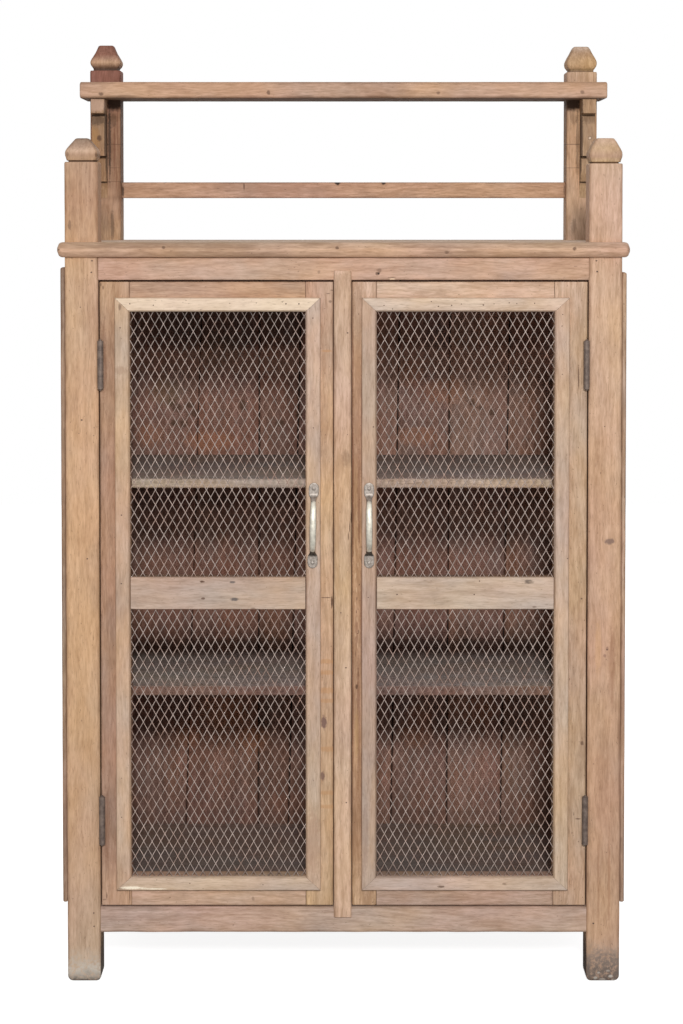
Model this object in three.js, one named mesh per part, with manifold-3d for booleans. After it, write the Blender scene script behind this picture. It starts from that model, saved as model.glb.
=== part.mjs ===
// Jelly cupboard: a post-framed cupboard with two wire-mesh doors and a gallery shelf above the top board.
// Millimetres. X runs to the right, Y from the front face of the posts to the back, Z up from the floor.
import * as THREE from 'three';
import { mergeVertices } from 'three/addons/utils/BufferGeometryUtils.js';
import Module from 'manifold-3d';

const wasm = await Module();
wasm.setup();

// Pieces that touch stand this far apart, and a tenon has it all round in its mortise.
const FIT = 0.3;

// Posts: square in section, and standing at the four corners.
const POST = 53;
const POST_OUTER = 442;
const POST_INNER = POST_OUTER - POST;
const REAR_POST_FRONT = 381;
const DEPTH = REAR_POST_FRONT + POST;
const POST_TOPS = {
  front_left: { shoulder: 1313.5, top: 1351 },
  front_right: { shoulder: 1311, top: 1351 },
  rear_left: { shoulder: 1482, top: 1526 },
  rear_right: { shoulder: 1479.5, top: 1524 },
};

// Boards and rails of the carcass, each as [lowest, highest] in Z.
const TOP_BOARD = [1162, 1186];
const TOP_BOARD_HALF = 453.5;
const TOP_BOARD_NOSE = -12;
const TOP_RAIL = [1126, TOP_BOARD[0]];
const BOTTOM_RAIL = [80.5, 122];
const RAIL_THICK = 24;
const BOTTOM_RAIL_THICK = 38;
const SIDE_RAIL_THICK = 22;
const FLOOR = [BOTTOM_RAIL[1], 146];
const UPPER_SHELF = [790.5, 805.5];
const LOWER_SHELF = [454.5, 470];
const SHELF_FRONT = 40;
const LOWER_SHELF_REAR = 335;
const BACK_FACE = 420;
const BACK_THICK = 13;
const PANEL_THICK = 7.5;
const PANEL_BOTTOM = 128;
const CLEAT = 18;

// Doors. Their front faces are flush with the posts, and the mullion between them stands proud.
const DOOR = [124.5, 1123.2];
const DOOR_THICK = 26;
const OPENING = [172.3, 1076];
const MID_BAR = [602.3, 653.7];
const MID_RAIL_THICK = 18;
const MULLION = [-15.5, 12.5];
const MULLION_ENDS = [106, 1141];
const MULLION_PROUD = 5;
const MULLION_LAP = 8;

// Beads: mitred strips that hold the mesh against the front of each door frame.
const BEAD_PROUD = 8.3;
const SIDE_BEAD = 24;
const END_BEAD = 22;
const NET_THICK = 1.6;
const NET_BORDER = 11;

// Hinges. The post leaf stands in the gap beside the door and the door leaf is let into the stile's edge, so the
// knuckles lie in front of the stile. The gap has room for one leaf.
const HINGE_X = 385.5;
const HINGE_Y = -5.4;
const HINGE_LENGTH = 77;
const HINGE_CENTRES = [262.5, 991.5];
const KNUCKLES = 5;
const KNUCKLE_RADIUS = 4.9;
const PIN_RADIUS = 2;
const LEAF_THICK = 1.4;
const LEAF_REAR = 22;
const HINGE_EDGE = 387;

// Handles: a bowed bar between two round-ended plates.
const HANDLE = [665, 801];
const PLATE_LENGTH = 27;
const PLATE_WIDTH = 15;
const PLATE_THICK = 1.6;
const BOW_REACH = 28;
const BOW_WIDTH = 9;
const BOW_THICK = 6;

// Gallery: a shelf on the rear posts, its brackets and the rail below it.
const GALLERY_SHELF = [1430, 1458];
const GALLERY_FRONT = 319;
const GALLERY_RAIL = [1259.5, 1287];
const GALLERY_RAIL_FRONT = 397;
const GALLERY_RAIL_THICK = 20;
const BRACKET = [412, 435];

const WOOD = { roughness: 0.75, metalness: 0 };
const cabinet = new THREE.Group();
cabinet.name = 'jelly_cupboard';

// A Manifold solid from a closed geometry.
function solid(geometry) {
  geometry.deleteAttribute('normal');
  geometry.deleteAttribute('uv');
  const merged = mergeVertices(geometry, 1e-4);
  return new wasm.Manifold(new wasm.Mesh({
    numProp: 3,
    vertProperties: Float32Array.from(merged.attributes.position.array),
    triVerts: Uint32Array.from(merged.index.array),
  }));
}

// Adds a Manifold solid to a group as a named mesh.
function place(group, name, shape, color, finish = WOOD) {
  const { vertProperties, triVerts } = shape.getMesh();
  const geometry = new THREE.BufferGeometry();
  geometry.setAttribute('position', new THREE.BufferAttribute(vertProperties, 3));
  geometry.setIndex(new THREE.BufferAttribute(triVerts, 1));
  geometry.computeVertexNormals();
  const mesh = new THREE.Mesh(geometry, new THREE.MeshStandardMaterial({ color, ...finish }));
  mesh.name = name;
  group.add(mesh);
}

// A box between three [low, high] ranges, whichever way round each is given.
function block(...ranges) {
  const sizes = ranges.map(([a, b]) => Math.abs(b - a));
  const centre = ranges.map(([a, b]) => (a + b) / 2);
  return solid(new THREE.BoxGeometry(...sizes).translate(...centre));
}

// A range widened by the fit at both ends.
function loose([a, b]) {
  return a < b ? [a - FIT, b + FIT] : [a + FIT, b - FIT];
}

// The same box with the fit all round it, to cut a mortise or a gain.
function looseBlock(...ranges) {
  return block(...ranges.map(loose));
}

function joined(shapes) {
  return shapes.reduce((whole, next) => whole.add(next));
}

function without(shape, cuts) {
  return cuts.reduce((rest, cut) => rest.subtract(cut), shape);
}

// An outline of [u, v] points extruded along an axis. For X they are [y, z], for Y [z, x], for Z [x, y].
const TURNS = {
  x: new THREE.Matrix4().set(0, 0, 1, 0, 1, 0, 0, 0, 0, 1, 0, 0, 0, 0, 0, 1),
  y: new THREE.Matrix4().set(0, 1, 0, 0, 0, 0, 1, 0, 1, 0, 0, 0, 0, 0, 0, 1),
  z: new THREE.Matrix4(),
};
function extruded(outline, axis, [low, high]) {
  const shape = new THREE.Shape(outline.map(([u, v]) => new THREE.Vector2(u, v)));
  const geometry = new THREE.ExtrudeGeometry(shape, { depth: high - low, bevelEnabled: false });
  return solid(geometry.translate(0, 0, low).applyMatrix4(TURNS[axis]));
}

// A closed skin through rings of equal count. The flat outline says how the end caps are filled.
function skinned(rings, outline) {
  const clockwise = THREE.ShapeUtils.isClockWise(outline);
  const flat = clockwise ? outline.toReversed() : outline;
  const ordered = clockwise ? rings.map((ring) => ring.toReversed()) : rings;
  const count = flat.length;
  const last = (ordered.length - 1) * count;
  const faces = [];
  for (let start = 0; start < last; start += count) {
    for (let i = 0; i < count; i += 1) {
      const a = start + i;
      const b = start + (i + 1) % count;
      faces.push([a, b, b + count], [a, b + count, a + count]);
    }
  }
  for (const [a, b, c] of THREE.ShapeUtils.triangulateShape(flat, [])) {
    faces.push([c, b, a], [last + a, last + b, last + c]);
  }
  const points = ordered.flat();
  const volume = faces.reduce((sum, [a, b, c]) => (
    sum + points[a].dot(points[b].clone().cross(points[c]))), 0);
  const outward = volume > 0 ? faces : faces.map((face) => face.toReversed());
  const geometry = new THREE.BufferGeometry().setFromPoints(points);
  geometry.setIndex(outward.flat());
  return solid(geometry);
}

// A square ring with small chamfers at its corners, as the posts are eased.
function squareRing(x, y, half, ease, z) {
  const inner = half - ease;
  const corners = [[half, -inner], [half, inner], [inner, half], [-inner, half],
    [-half, inner], [-half, -inner], [-inner, -half], [inner, -half]];
  return corners.map(([dx, dy]) => new THREE.Vector3(x + dx, y + dy, z));
}

// A post with its worn foot and carved finial. Each mortise is given as the tenon that enters it.
function post(side, front, { shoulder, top }, finialCurve, mortises) {
  const x = side * (POST_OUTER - POST / 2);
  const y = front + POST / 2;
  const half = POST / 2;
  const levels = [[0, half - 5.5, 3], [3.5, half - 2.2, 3], [8, half, 1.5], [shoulder - 1.5, half, 1.5],
    [shoulder, half - 1.5, 1.5]];
  for (const [share, width] of finialCurve) {
    levels.push([shoulder + share * (top - shoulder), width / 2, 2.5]);
  }
  const rings = levels.map(([z, reach, ease]) => squareRing(x, y, reach, ease, z));
  const outline = rings[0].map((point) => new THREE.Vector2(point.x, point.y));
  return without(skinned(rings, outline), mortises.map((ranges) => looseBlock(...ranges)));
}

// Finial outlines as [share of the height, width]: a neck, a rounded swelling and a taper to a flat top.
// They were carved by hand. The front left one is worn the most, and the rear left one is the slimmest.
const FINIALS = {
  front_left: [[0.02, 46], [0.08, 46.4], [0.16, 48], [0.26, 49.5], [0.36, 49.7], [0.48, 48], [0.58, 44.7],
    [0.7, 38.5], [0.84, 29.8], [0.96, 22.2], [1, 19.5]],
  front_right: [[0.02, 46.2], [0.08, 46.4], [0.16, 48.5], [0.26, 51.5], [0.36, 52.2], [0.48, 51.2], [0.6, 48],
    [0.72, 42.5], [0.86, 34.5], [0.97, 28.5], [1, 26.2]],
  rear_left: [[0.02, 44.2], [0.07, 44.2], [0.13, 46.8], [0.21, 51], [0.3, 53], [0.38, 52.4], [0.49, 48.6],
    [0.57, 43.6], [0.66, 38.4], [0.83, 30.8], [1, 24.7]],
  rear_right: [[0.02, 44.2], [0.07, 44.4], [0.13, 47.5], [0.22, 51.5], [0.32, 53], [0.42, 52.8], [0.54, 50.5],
    [0.65, 46.2], [0.81, 34], [0.94, 28.5], [1, 26.3]],
};

// Tenons of the rails, in the posts. Each is [X range, Y range, Z range].
const TENON = 28;
function frontTenon(side, [low, high], thick) {
  const middle = thick / 2;
  const across = [side * (POST_INNER - 1), side * (POST_INNER + TENON)];
  return [across, [middle - 5, middle + 5], [low + 5, high - 5]];
}
function sideTenon(side, [low, high], rear) {
  const x = side * (POST_OUTER - SIDE_RAIL_THICK / 2);
  const along = rear ? [REAR_POST_FRONT - 1, REAR_POST_FRONT + TENON] : [POST + 1, POST - TENON];
  return [[x - 4.5, x + 4.5], along, [low + 5, high - 5]];
}
function galleryTenon(side) {
  const y = GALLERY_RAIL_FRONT + GALLERY_RAIL_THICK / 2;
  const across = [side * (POST_INNER - 1), side * (POST_INNER + 25)];
  return [across, [y - 4.5, y + 4.5], [GALLERY_RAIL[0] + 4, GALLERY_RAIL[1] - 4]];
}

// A gain is the shallow recess in the stile's edge that the door leaf lies in.
function hingeGain(side, centre) {
  const across = [side * (HINGE_EDGE - LEAF_THICK - FIT), side * (HINGE_EDGE + 1)];
  const half = HINGE_LENGTH / 2 + FIT;
  return block(across, [-1, LEAF_REAR + FIT], [centre - half, centre + half]);
}

const SIDES = { left: -1, right: 1 };
const RAILS_OF_SIDE = { upper: TOP_RAIL, lower: BOTTOM_RAIL };

function buildPosts() {
  for (const [hand, side] of Object.entries(SIDES)) {
    const frontMortises = [
      frontTenon(side, TOP_RAIL, RAIL_THICK),
      frontTenon(side, BOTTOM_RAIL, BOTTOM_RAIL_THICK),
      sideTenon(side, TOP_RAIL, false),
      sideTenon(side, BOTTOM_RAIL, false),
    ];
    const rearMortises = [
      sideTenon(side, TOP_RAIL, true),
      sideTenon(side, BOTTOM_RAIL, true),
      galleryTenon(side),
    ];
    const levels = (name) => [POST_TOPS[name], FINIALS[name]];
    const front = post(side, 0, ...levels(`front_${hand}`), frontMortises);
    place(cabinet, `front_${hand}_post`, front, 0xc8a383);
    const rear = post(side, REAR_POST_FRONT, ...levels(`rear_${hand}`), rearMortises);
    place(cabinet, `rear_${hand}_post`, rear, 0xbd9a7b);
  }
}

// Front rails, tenoned into the posts and housed for the mullion's lapped ends.
function buildFrontRails() {
  const housing = block(loose(MULLION), [-1, MULLION_LAP + FIT], loose(MULLION_ENDS));
  const rails = { front_top_rail: [TOP_RAIL, RAIL_THICK], front_bottom_rail: [BOTTOM_RAIL, BOTTOM_RAIL_THICK] };
  for (const [name, [level, thick]] of Object.entries(rails)) {
    const ends = [FIT - POST_INNER, POST_INNER - FIT];
    const top = name === 'front_top_rail' ? level[1] - FIT : level[1];
    const body = block(ends, [0, thick], [level[0], top]);
    const tenons = [-1, 1].map((side) => block(...frontTenon(side, level, thick)));
    place(cabinet, name, without(joined([body, ...tenons]), [housing]), 0xb99a80);
  }
}

// Side rails, flush with the posts' outer faces and tenoned into them.
function buildSideRails() {
  for (const [hand, side] of Object.entries(SIDES)) {
    for (const [height, level] of Object.entries(RAILS_OF_SIDE)) {
      const across = [side * (POST_OUTER - SIDE_RAIL_THICK), side * POST_OUTER];
      const body = block(across, [POST + FIT, REAR_POST_FRONT - FIT], [level[0], level[1] - FIT]);
      const tenons = [false, true].map((rear) => block(...sideTenon(side, level, rear)));
      place(cabinet, `${hand}_${height}_side_rail`, joined([body, ...tenons]), 0xb99a80);
    }
  }
}

// The mullion fills the space between the doors. Its ends lap over the front rails, and the top end slopes away.
function buildMullion() {
  const [bottom, top] = MULLION_ENDS;
  const back = DOOR_THICK - 2;
  const profile = [[-MULLION_PROUD, bottom], [MULLION_LAP, bottom], [MULLION_LAP, BOTTOM_RAIL[1] + FIT],
    [back, BOTTOM_RAIL[1] + FIT], [back, TOP_RAIL[0] - FIT], [MULLION_LAP, TOP_RAIL[0] - FIT],
    [MULLION_LAP, top], [-0.5, top], [-MULLION_PROUD, top - 12]];
  place(cabinet, 'centre_mullion', extruded(profile, 'x', MULLION), 0xc9a789);
}

// The top board has a rounded nose at the front and the ends. Its rings step round that nose.
function buildTopBoard() {
  const nose = 10;
  const cornerRadius = 13;
  const steps = 4;
  const levels = [];
  for (let i = 0; i <= steps; i += 1) {
    const angle = (Math.PI / 2) * (i / steps);
    levels.push([nose * (1 - Math.sin(angle)), TOP_BOARD[0] + nose * (1 - Math.cos(angle))]);
  }
  const upper = levels.toReversed().map(([inset, z]) => [inset, TOP_BOARD[0] + TOP_BOARD[1] - z]);
  const outlineAt = (inset) => {
    const arc = (side, start) => Array.from({ length: 5 }, (_, i) => {
      const angle = start + (Math.PI / 8) * i;
      const radius = cornerRadius - inset;
      const x = side * (TOP_BOARD_HALF - cornerRadius) + radius * Math.cos(angle);
      return [x, TOP_BOARD_NOSE + cornerRadius + radius * Math.sin(angle)];
    });
    const reach = TOP_BOARD_HALF - inset;
    return [[reach, DEPTH], [-reach, DEPTH], ...arc(-1, Math.PI), ...arc(1, Math.PI * 1.5)];
  };
  const rings = [...levels, ...upper].map(([inset, z]) => (
    outlineAt(inset).map(([x, y]) => new THREE.Vector3(x, y, z))));
  const outline = outlineAt(0).map(([x, y]) => new THREE.Vector2(x, y));
  const cuts = [block([-POST_INNER - 1, POST_INNER + 1], [BACK_FACE - FIT, DEPTH + 1], [1100, 1200])];
  for (const side of [-1, 1]) {
    const across = loose([side * POST_INNER, side * POST_OUTER]);
    cuts.push(block(across, [-FIT, POST + FIT], [1100, 1200]));
    cuts.push(block(across, [REAR_POST_FRONT - FIT, DEPTH + 1], [1100, 1200]));
  }
  place(cabinet, 'top_board', without(skinned(rings, outline), cuts), 0xcdab8c);
}

// Floor and shelves are notched round the posts and reach the side panels between them.
function notchedBoard(front, rear) {
  const narrow = POST_INNER - FIT;
  const wide = POST_OUTER - FIT;
  const half = [[narrow, front], [narrow, POST + FIT], [wide, POST + FIT]];
  if (rear > REAR_POST_FRONT) {
    half.push([wide, REAR_POST_FRONT - FIT], [narrow, REAR_POST_FRONT - FIT], [narrow, rear]);
  } else {
    half.push([wide, rear]);
  }
  return [...half, ...half.toReversed().map(([x, y]) => [-x, y])];
}

function buildFloorAndShelves() {
  const boards = {
    floor_board: [FLOOR, DOOR_THICK + 1, BACK_FACE - FIT],
    upper_shelf: [UPPER_SHELF, SHELF_FRONT, BACK_FACE - FIT],
    lower_shelf: [LOWER_SHELF, SHELF_FRONT, LOWER_SHELF_REAR],
  };
  for (const [name, [[low, high], front, rear]] of Object.entries(boards)) {
    place(cabinet, name, extruded(notchedBoard(front, rear), 'z', [low, high]), 0x8f6b54);
  }
}

// Side panels are nailed outside the posts. Each carries the two cleats that its shelf ends rest on.
function buildSidePanels() {
  const tops = { left: 1146, right: 1138 };
  for (const [hand, side] of Object.entries(SIDES)) {
    const inner = side * (POST_OUTER + FIT);
    const outer = side * (POST_OUTER + PANEL_THICK);
    const corner = tops[hand];
    const outline = [[3, PANEL_BOTTOM], [DEPTH, PANEL_BOTTOM], [DEPTH, corner], [9, corner], [3, corner - 6]];
    const panel = extruded(outline, 'x', [Math.min(inner, outer), Math.max(inner, outer)]);
    const cleats = [UPPER_SHELF, LOWER_SHELF].map(([low]) => (
      block([inner + side, side * (POST_OUTER - CLEAT)], [POST + 6, REAR_POST_FRONT - 6],
        [low - CLEAT - FIT, low - FIT])));
    place(cabinet, `${hand}_side_panel`, joined([panel, ...cleats]), 0xb8967a);
  }
}

// Back boards stand between the rear posts. Their joints lean a little, as the boards taper.
function buildBackBoards() {
  const bottom = BOTTOM_RAIL[0];
  const top = TOP_BOARD[1];
  const crack = 0.6;
  const joints = [[-POST_INNER, -POST_INNER], [-283, -247], [-152, -148], [-100, -72],
    [83, 101], [183, 189], [278, 296], [POST_INNER, POST_INNER]];
  for (let i = 0; i + 1 < joints.length; i += 1) {
    const [low, high] = [joints[i], joints[i + 1]];
    const outline = [[bottom, low[0] + crack], [top, low[1] + crack], [top, high[1] - crack],
      [bottom, high[0] - crack]];
    const shape = extruded(outline, 'y', [BACK_FACE, BACK_FACE + BACK_THICK]);
    place(cabinet, `back_board_${i + 1}`, shape, 0x7d5b4a);
  }
}

// An arc of points that bulges between two corners of an outline. The sagitta's sign picks the side.
function bulge([u0, v0], [u1, v1], sagitta, steps) {
  const length = Math.hypot(u1 - u0, v1 - v0);
  const [nu, nv] = [(v1 - v0) / length, -(u1 - u0) / length];
  return Array.from({ length: steps + 1 }, (_, i) => {
    const t = i / steps;
    const out = sagitta * 4 * t * (1 - t);
    return [u0 + (u1 - u0) * t + nu * out, v0 + (v1 - v0) * t + nv * out];
  });
}

function buildGallery() {
  const [low, high] = GALLERY_SHELF;
  const ease = 3;
  const section = [[GALLERY_FRONT, low + ease], [GALLERY_FRONT + ease, low], [DEPTH, low],
    [DEPTH, high], [GALLERY_FRONT + ease, high], [GALLERY_FRONT, high - ease]];
  const shelf = extruded(section, 'x', [-TOP_BOARD_HALF, TOP_BOARD_HALF]);
  const notches = [-1, 1].map((side) => (
    block(loose([side * POST_INNER, side * POST_OUTER]), [REAR_POST_FRONT - FIT, DEPTH + 1], [1400, 1500])));
  place(cabinet, 'gallery_shelf', without(shelf, notches), 0xc4a182);

  const rear = REAR_POST_FRONT - FIT;
  const profile = [[rear, low - FIT], [327, low - FIT], [327, 1405],
    ...bulge([345, 1405], [347, 1332], 3, 6), ...bulge([364, 1332], [368, 1288], 2.5, 5),
    ...bulge([374, 1288], [rear, 1259.5], -1.5, 4)];
  for (const [hand, side] of Object.entries(SIDES)) {
    const across = side > 0 ? BRACKET : [-BRACKET[1], -BRACKET[0]];
    place(cabinet, `${hand}_gallery_bracket`, extruded(profile, 'x', across), 0xc09c7d);
  }

  const ends = [FIT - POST_INNER, POST_INNER - FIT];
  const thick = [GALLERY_RAIL_FRONT, GALLERY_RAIL_FRONT + GALLERY_RAIL_THICK];
  const tenons = [-1, 1].map((side) => block(...galleryTenon(side)));
  place(cabinet, 'gallery_rail', joined([block(ends, thick, GALLERY_RAIL), ...tenons]), 0xb18c70);
}

// A cylinder about a vertical axis.
function upright(x, y, radius, [low, high], sides) {
  const geometry = new THREE.CylinderGeometry(radius, radius, high - low, sides);
  return solid(geometry.rotateX(Math.PI / 2).translate(x, y, (low + high) / 2));
}

// One hinge: the post leaf with its pin, and the door leaf, whose knuckles turn on that pin.
function buildHinge(hand, side, height, centre, door) {
  const x = side * HINGE_X;
  const ends = [centre - HINGE_LENGTH / 2, centre + HINGE_LENGTH / 2];
  const step = HINGE_LENGTH / KNUCKLES;
  const shapes = [1, -1].map((towardsPost) => {
    const near = towardsPost === 1 ? HINGE_EDGE + FIT : HINGE_EDGE - LEAF_THICK;
    const plate = block([side * near, side * (near + LEAF_THICK)], [HINGE_Y, LEAF_REAR], ends);
    const own = [];
    const others = [];
    for (let i = 0; i < KNUCKLES; i += 1) {
      const length = [ends[0] + step * i, ends[0] + step * (i + 1)];
      if ((i % 2 === 0) === (towardsPost === 1)) {
        own.push(upright(x, HINGE_Y, KNUCKLE_RADIUS, [length[0] + FIT / 2, length[1] - FIT / 2], 16));
      } else {
        const room = [length[0] - FIT / 2, length[1] + FIT / 2];
        others.push(upright(x, HINGE_Y, KNUCKLE_RADIUS + FIT + 0.1, room, 16));
      }
    }
    return joined([without(plate, others), ...own]);
  });
  const metal = { roughness: 0.5, metalness: 0.8 };
  const pin = upright(x, HINGE_Y, PIN_RADIUS, [ends[0] - 2, ends[1] + 2], 12);
  const bore = upright(x, HINGE_Y, PIN_RADIUS + FIT + 0.1, [ends[0] - 3, ends[1] + 3], 12);
  place(cabinet, `${hand}_${height}_hinge_post_leaf`, shapes[0].add(pin), 0x6f655c, metal);
  place(door, `${hand}_${height}_hinge_door_leaf`, shapes[1].subtract(bore), 0x6f655c, metal);
}

// A bead along one edge of the opening. Inner and outer are the two long edges, as [x, z] corner pairs.
// The profile is [share of the width from the opening, Y]: a rebate for the mesh and eased front edges.
const BEAD_PROFILE = [[0.52, -FIT], [0.52, -NET_THICK - 2 * FIT], [0, -NET_THICK - 2 * FIT], [0, 3 - BEAD_PROUD],
  [0.11, -BEAD_PROUD], [0.94, -BEAD_PROUD], [1, 1.5 - BEAD_PROUD], [1, -FIT]];
function bead(inner, outer) {
  const outline = BEAD_PROFILE.map(([share, y]) => new THREE.Vector2(share * SIDE_BEAD, y));
  const rings = [0, 1].map((end) => BEAD_PROFILE.map(([share, y]) => {
    const [x0, z0] = inner[end];
    const [x1, z1] = outer[end];
    return new THREE.Vector3(x0 + (x1 - x0) * share, y, z0 + (z1 - z0) * share);
  }));
  return skinned(rings, outline);
}

// Diamond mesh as one flat net: the gaps are diamonds, cut off at the hem that the beads cover.
const GAP_PITCH = [44, 78.2];
const STRAND = 2.4;
const HEM = 3;
const LEAST_SHARE = 0.4;
function diamondNet([left, right], [low, high]) {
  const [pitchX, pitchZ] = GAP_PITCH;
  const shrink = 1 - STRAND * Math.hypot(1 / pitchX, 1 / pitchZ);
  const [dx, dz] = [(pitchX / 2) * shrink, (pitchZ / 2) * shrink];
  const middle = [(left + right) / 2, (low + high) / 2];
  const across = Math.ceil((right - left) / pitchX) + 1;
  const up = Math.ceil((high - low) / pitchZ) + 1;
  const cuts = [];
  for (let i = -across; i <= across; i += 1) {
    for (let j = -up; j <= up; j += 1) {
      const x = middle[0] + (i * pitchX) / 2;
      const z = middle[1] + (j * pitchZ) / 2;
      const overX = Math.abs(x - middle[0]) - (right - left) / 2 + HEM;
      const overZ = Math.abs(z - middle[1]) - (high - low) / 2 + HEM;
      const reached = overX < dx * LEAST_SHARE && overZ < dz * LEAST_SHARE;
      if ((i + j) % 2 === 0 && reached) {
        cuts.push(extruded([[z - dz, x], [z, x - dx], [z + dz, x], [z, x + dx]], 'y', [-10, 10]));
      }
    }
  }
  const thick = [-NET_THICK - FIT, -FIT];
  const inside = block([left + HEM, right - HEM], [-5, 5], [low + HEM, high - HEM]);
  return block([left, right], thick, [low, high]).subtract(joined(cuts).intersect(inside));
}

// A handle on the lock-side bead: two plates and a bowed bar between them, all one casting.
function handle(x) {
  const seat = -BEAD_PROUD - FIT;
  const [low, high] = HANDLE;
  const radius = PLATE_WIDTH / 2;
  const plates = [[low, low + PLATE_LENGTH], [high - PLATE_LENGTH, high]].map(([bottom, top]) => {
    const outline = [];
    for (let i = 0; i <= 8; i += 1) {
      const angle = (Math.PI * i) / 8;
      outline.push([top - radius + radius * Math.sin(angle), x + radius * Math.cos(angle)]);
    }
    for (let i = 0; i <= 8; i += 1) {
      const angle = (Math.PI * i) / 8;
      outline.push([bottom + radius - radius * Math.sin(angle), x - radius * Math.cos(angle)]);
    }
    return extruded(outline, 'y', [seat - PLATE_THICK, seat]);
  });
  const foot = PLATE_LENGTH - 5;
  const face = seat - PLATE_THICK / 2;
  const reach = face - BOW_REACH;
  const middle = (low + high) / 2;
  const route = new THREE.CatmullRomCurve3([
    new THREE.Vector3(x, face, low + foot), new THREE.Vector3(x, reach + 15, low + foot + 3),
    new THREE.Vector3(x, reach + 3, low + foot + 15), new THREE.Vector3(x, reach, middle),
    new THREE.Vector3(x, reach + 3, high - foot - 15), new THREE.Vector3(x, reach + 15, high - foot - 3),
    new THREE.Vector3(x, face, high - foot)]);
  const section = new THREE.Shape();
  section.absellipse(0, 0, BOW_WIDTH / 2, BOW_THICK / 2, 0, Math.PI * 2);
  const bow = new THREE.ExtrudeGeometry(section, { steps: 24, extrudePath: route, curveSegments: 6 });
  return joined([...plates, solid(bow)]);
}

// A door measured from its hinge axis: u is the distance from that axis towards the lock side.
const DOORS = {
  left: { hingeStile: [HINGE_X - HINGE_EDGE, 46.5], lockStile: [325.2, 369] },
  right: { hingeStile: [HINGE_X - HINGE_EDGE, 50.9], lockStile: [332.9, 372] },
};
const LOCK_BEVEL = 1.7;
const DOOR_TENON = [8.5, 17.5];
const DOOR_TENON_LENGTH = 30;

function buildDoor(hand, side) {
  const { hingeStile, lockStile } = DOORS[hand];
  const door = new THREE.Group();
  door.name = `${hand}_door`;
  cabinet.add(door);
  const atX = (u) => side * (HINGE_X - u);
  const opening = [hingeStile[1], lockStile[0]];
  const rails = {
    top: [[OPENING[1], DOOR[1]], DOOR_THICK],
    mid: [MID_BAR, MID_RAIL_THICK],
    bottom: [[DOOR[0], OPENING[0]], DOOR_THICK],
  };
  const tenonsOf = ([low, high]) => [
    [[opening[0] + 1, opening[0] - DOOR_TENON_LENGTH].map(atX), DOOR_TENON, [low + 6, high - 6]],
    [[opening[1] - 1, opening[1] + DOOR_TENON_LENGTH].map(atX), DOOR_TENON, [low + 6, high - 6]],
  ];
  const mortises = Object.values(rails).flatMap(([level]) => (
    tenonsOf(level).map((ranges) => looseBlock(...ranges))));

  const gains = HINGE_CENTRES.map((centre) => hingeGain(side, centre));
  const hingeBody = block(hingeStile.map(atX), [0, DOOR_THICK], DOOR);
  place(door, `${hand}_door_hinge_stile`, without(hingeBody, [...mortises, ...gains]), 0xbb967b);
  const lockOutline = [[lockStile[0], 0], [lockStile[1], 0], [lockStile[1] - LOCK_BEVEL, DOOR_THICK],
    [lockStile[0], DOOR_THICK]].map(([u, y]) => [atX(u), y]);
  const lockBody = extruded(lockOutline, 'z', DOOR);
  place(door, `${hand}_door_lock_stile`, without(lockBody, mortises), 0xbb967b);

  for (const [name, [level, thick]] of Object.entries(rails)) {
    const body = block([opening[0] + FIT, opening[1] - FIT].map(atX), [0, thick], level);
    const tenons = tenonsOf(level).map((ranges) => block(...ranges));
    place(door, `${hand}_door_${name}_rail`, joined([body, ...tenons]), 0xbb967b);
  }

  const beadFront = -BEAD_PROUD;
  const beadRear = -NET_THICK - 2 * FIT;
  const cover = block([opening[0] + FIT, opening[1] - FIT].map(atX), [beadFront, beadRear], MID_BAR);
  place(door, `${hand}_door_mid_bar`, cover, 0xcfac8b);
  const netLevels = [OPENING[0] - NET_BORDER + FIT, OPENING[1] + NET_BORDER - FIT];
  const netAcross = [opening[0] - NET_BORDER + FIT, opening[1] + NET_BORDER - FIT].map(atX).sort((a, b) => a - b);
  const steel = { roughness: 0.5, metalness: 0.6 };
  place(door, `${hand}_door_mesh`, diamondNet(netAcross, netLevels), 0x9c958e, steel);

  const [low, high] = OPENING;
  const corner = (u, z) => [[atX(u), z], [atX(u + (u < 200 ? -SIDE_BEAD : SIDE_BEAD)),
    z + (z < 600 ? -END_BEAD : END_BEAD)]];
  const corners = {
    bottomHinge: corner(opening[0], low),
    bottomLock: corner(opening[1], low),
    topHinge: corner(opening[0], high),
    topLock: corner(opening[1], high),
  };
  const mitred = (first, second, uShift, zShift) => {
    const move = ([x, z], sign) => [x - side * sign * uShift, z + sign * zShift];
    return bead([move(first[0], 1), move(second[0], -1)], [move(first[1], 1), move(second[1], -1)]);
  };
  const mitreGap = FIT * 0.75;
  const beads = {
    top: mitred(corners.topHinge, corners.topLock, mitreGap, 0),
    bottom: mitred(corners.bottomHinge, corners.bottomLock, mitreGap, 0),
    hinge_side: mitred(corners.bottomHinge, corners.topHinge, 0, mitreGap),
    lock_side: mitred(corners.bottomLock, corners.topLock, 0, mitreGap),
  };
  for (const [name, shape] of Object.entries(beads)) {
    place(door, `${hand}_door_${name}_bead`, shape, 0xd2b291);
  }

  place(door, `${hand}_door_handle`, handle(atX(opening[1] + SIDE_BEAD / 2)), 0x8d8a86,
    { roughness: 0.35, metalness: 0.9 });
  buildHinge(hand, side, 'lower', HINGE_CENTRES[0], door);
  buildHinge(hand, side, 'upper', HINGE_CENTRES[1], door);
}

buildPosts();
buildFrontRails();
buildSideRails();
buildMullion();
buildTopBoard();
buildFloorAndShelves();
buildSidePanels();
buildBackBoards();
buildGallery();
for (const [hand, side] of Object.entries(SIDES)) buildDoor(hand, side);

// The origin is on the floor, in the middle of the whole depth from the handles to the back of the posts.
const handleFront = -BEAD_PROUD - FIT - PLATE_THICK / 2 - BOW_REACH - BOW_THICK / 2;
cabinet.position.set(0, -(handleFront + DEPTH) / 2, 0);

export default cabinet;
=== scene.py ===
import math

import bmesh
import bpy
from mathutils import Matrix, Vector
from mathutils.noise import noise


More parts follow.
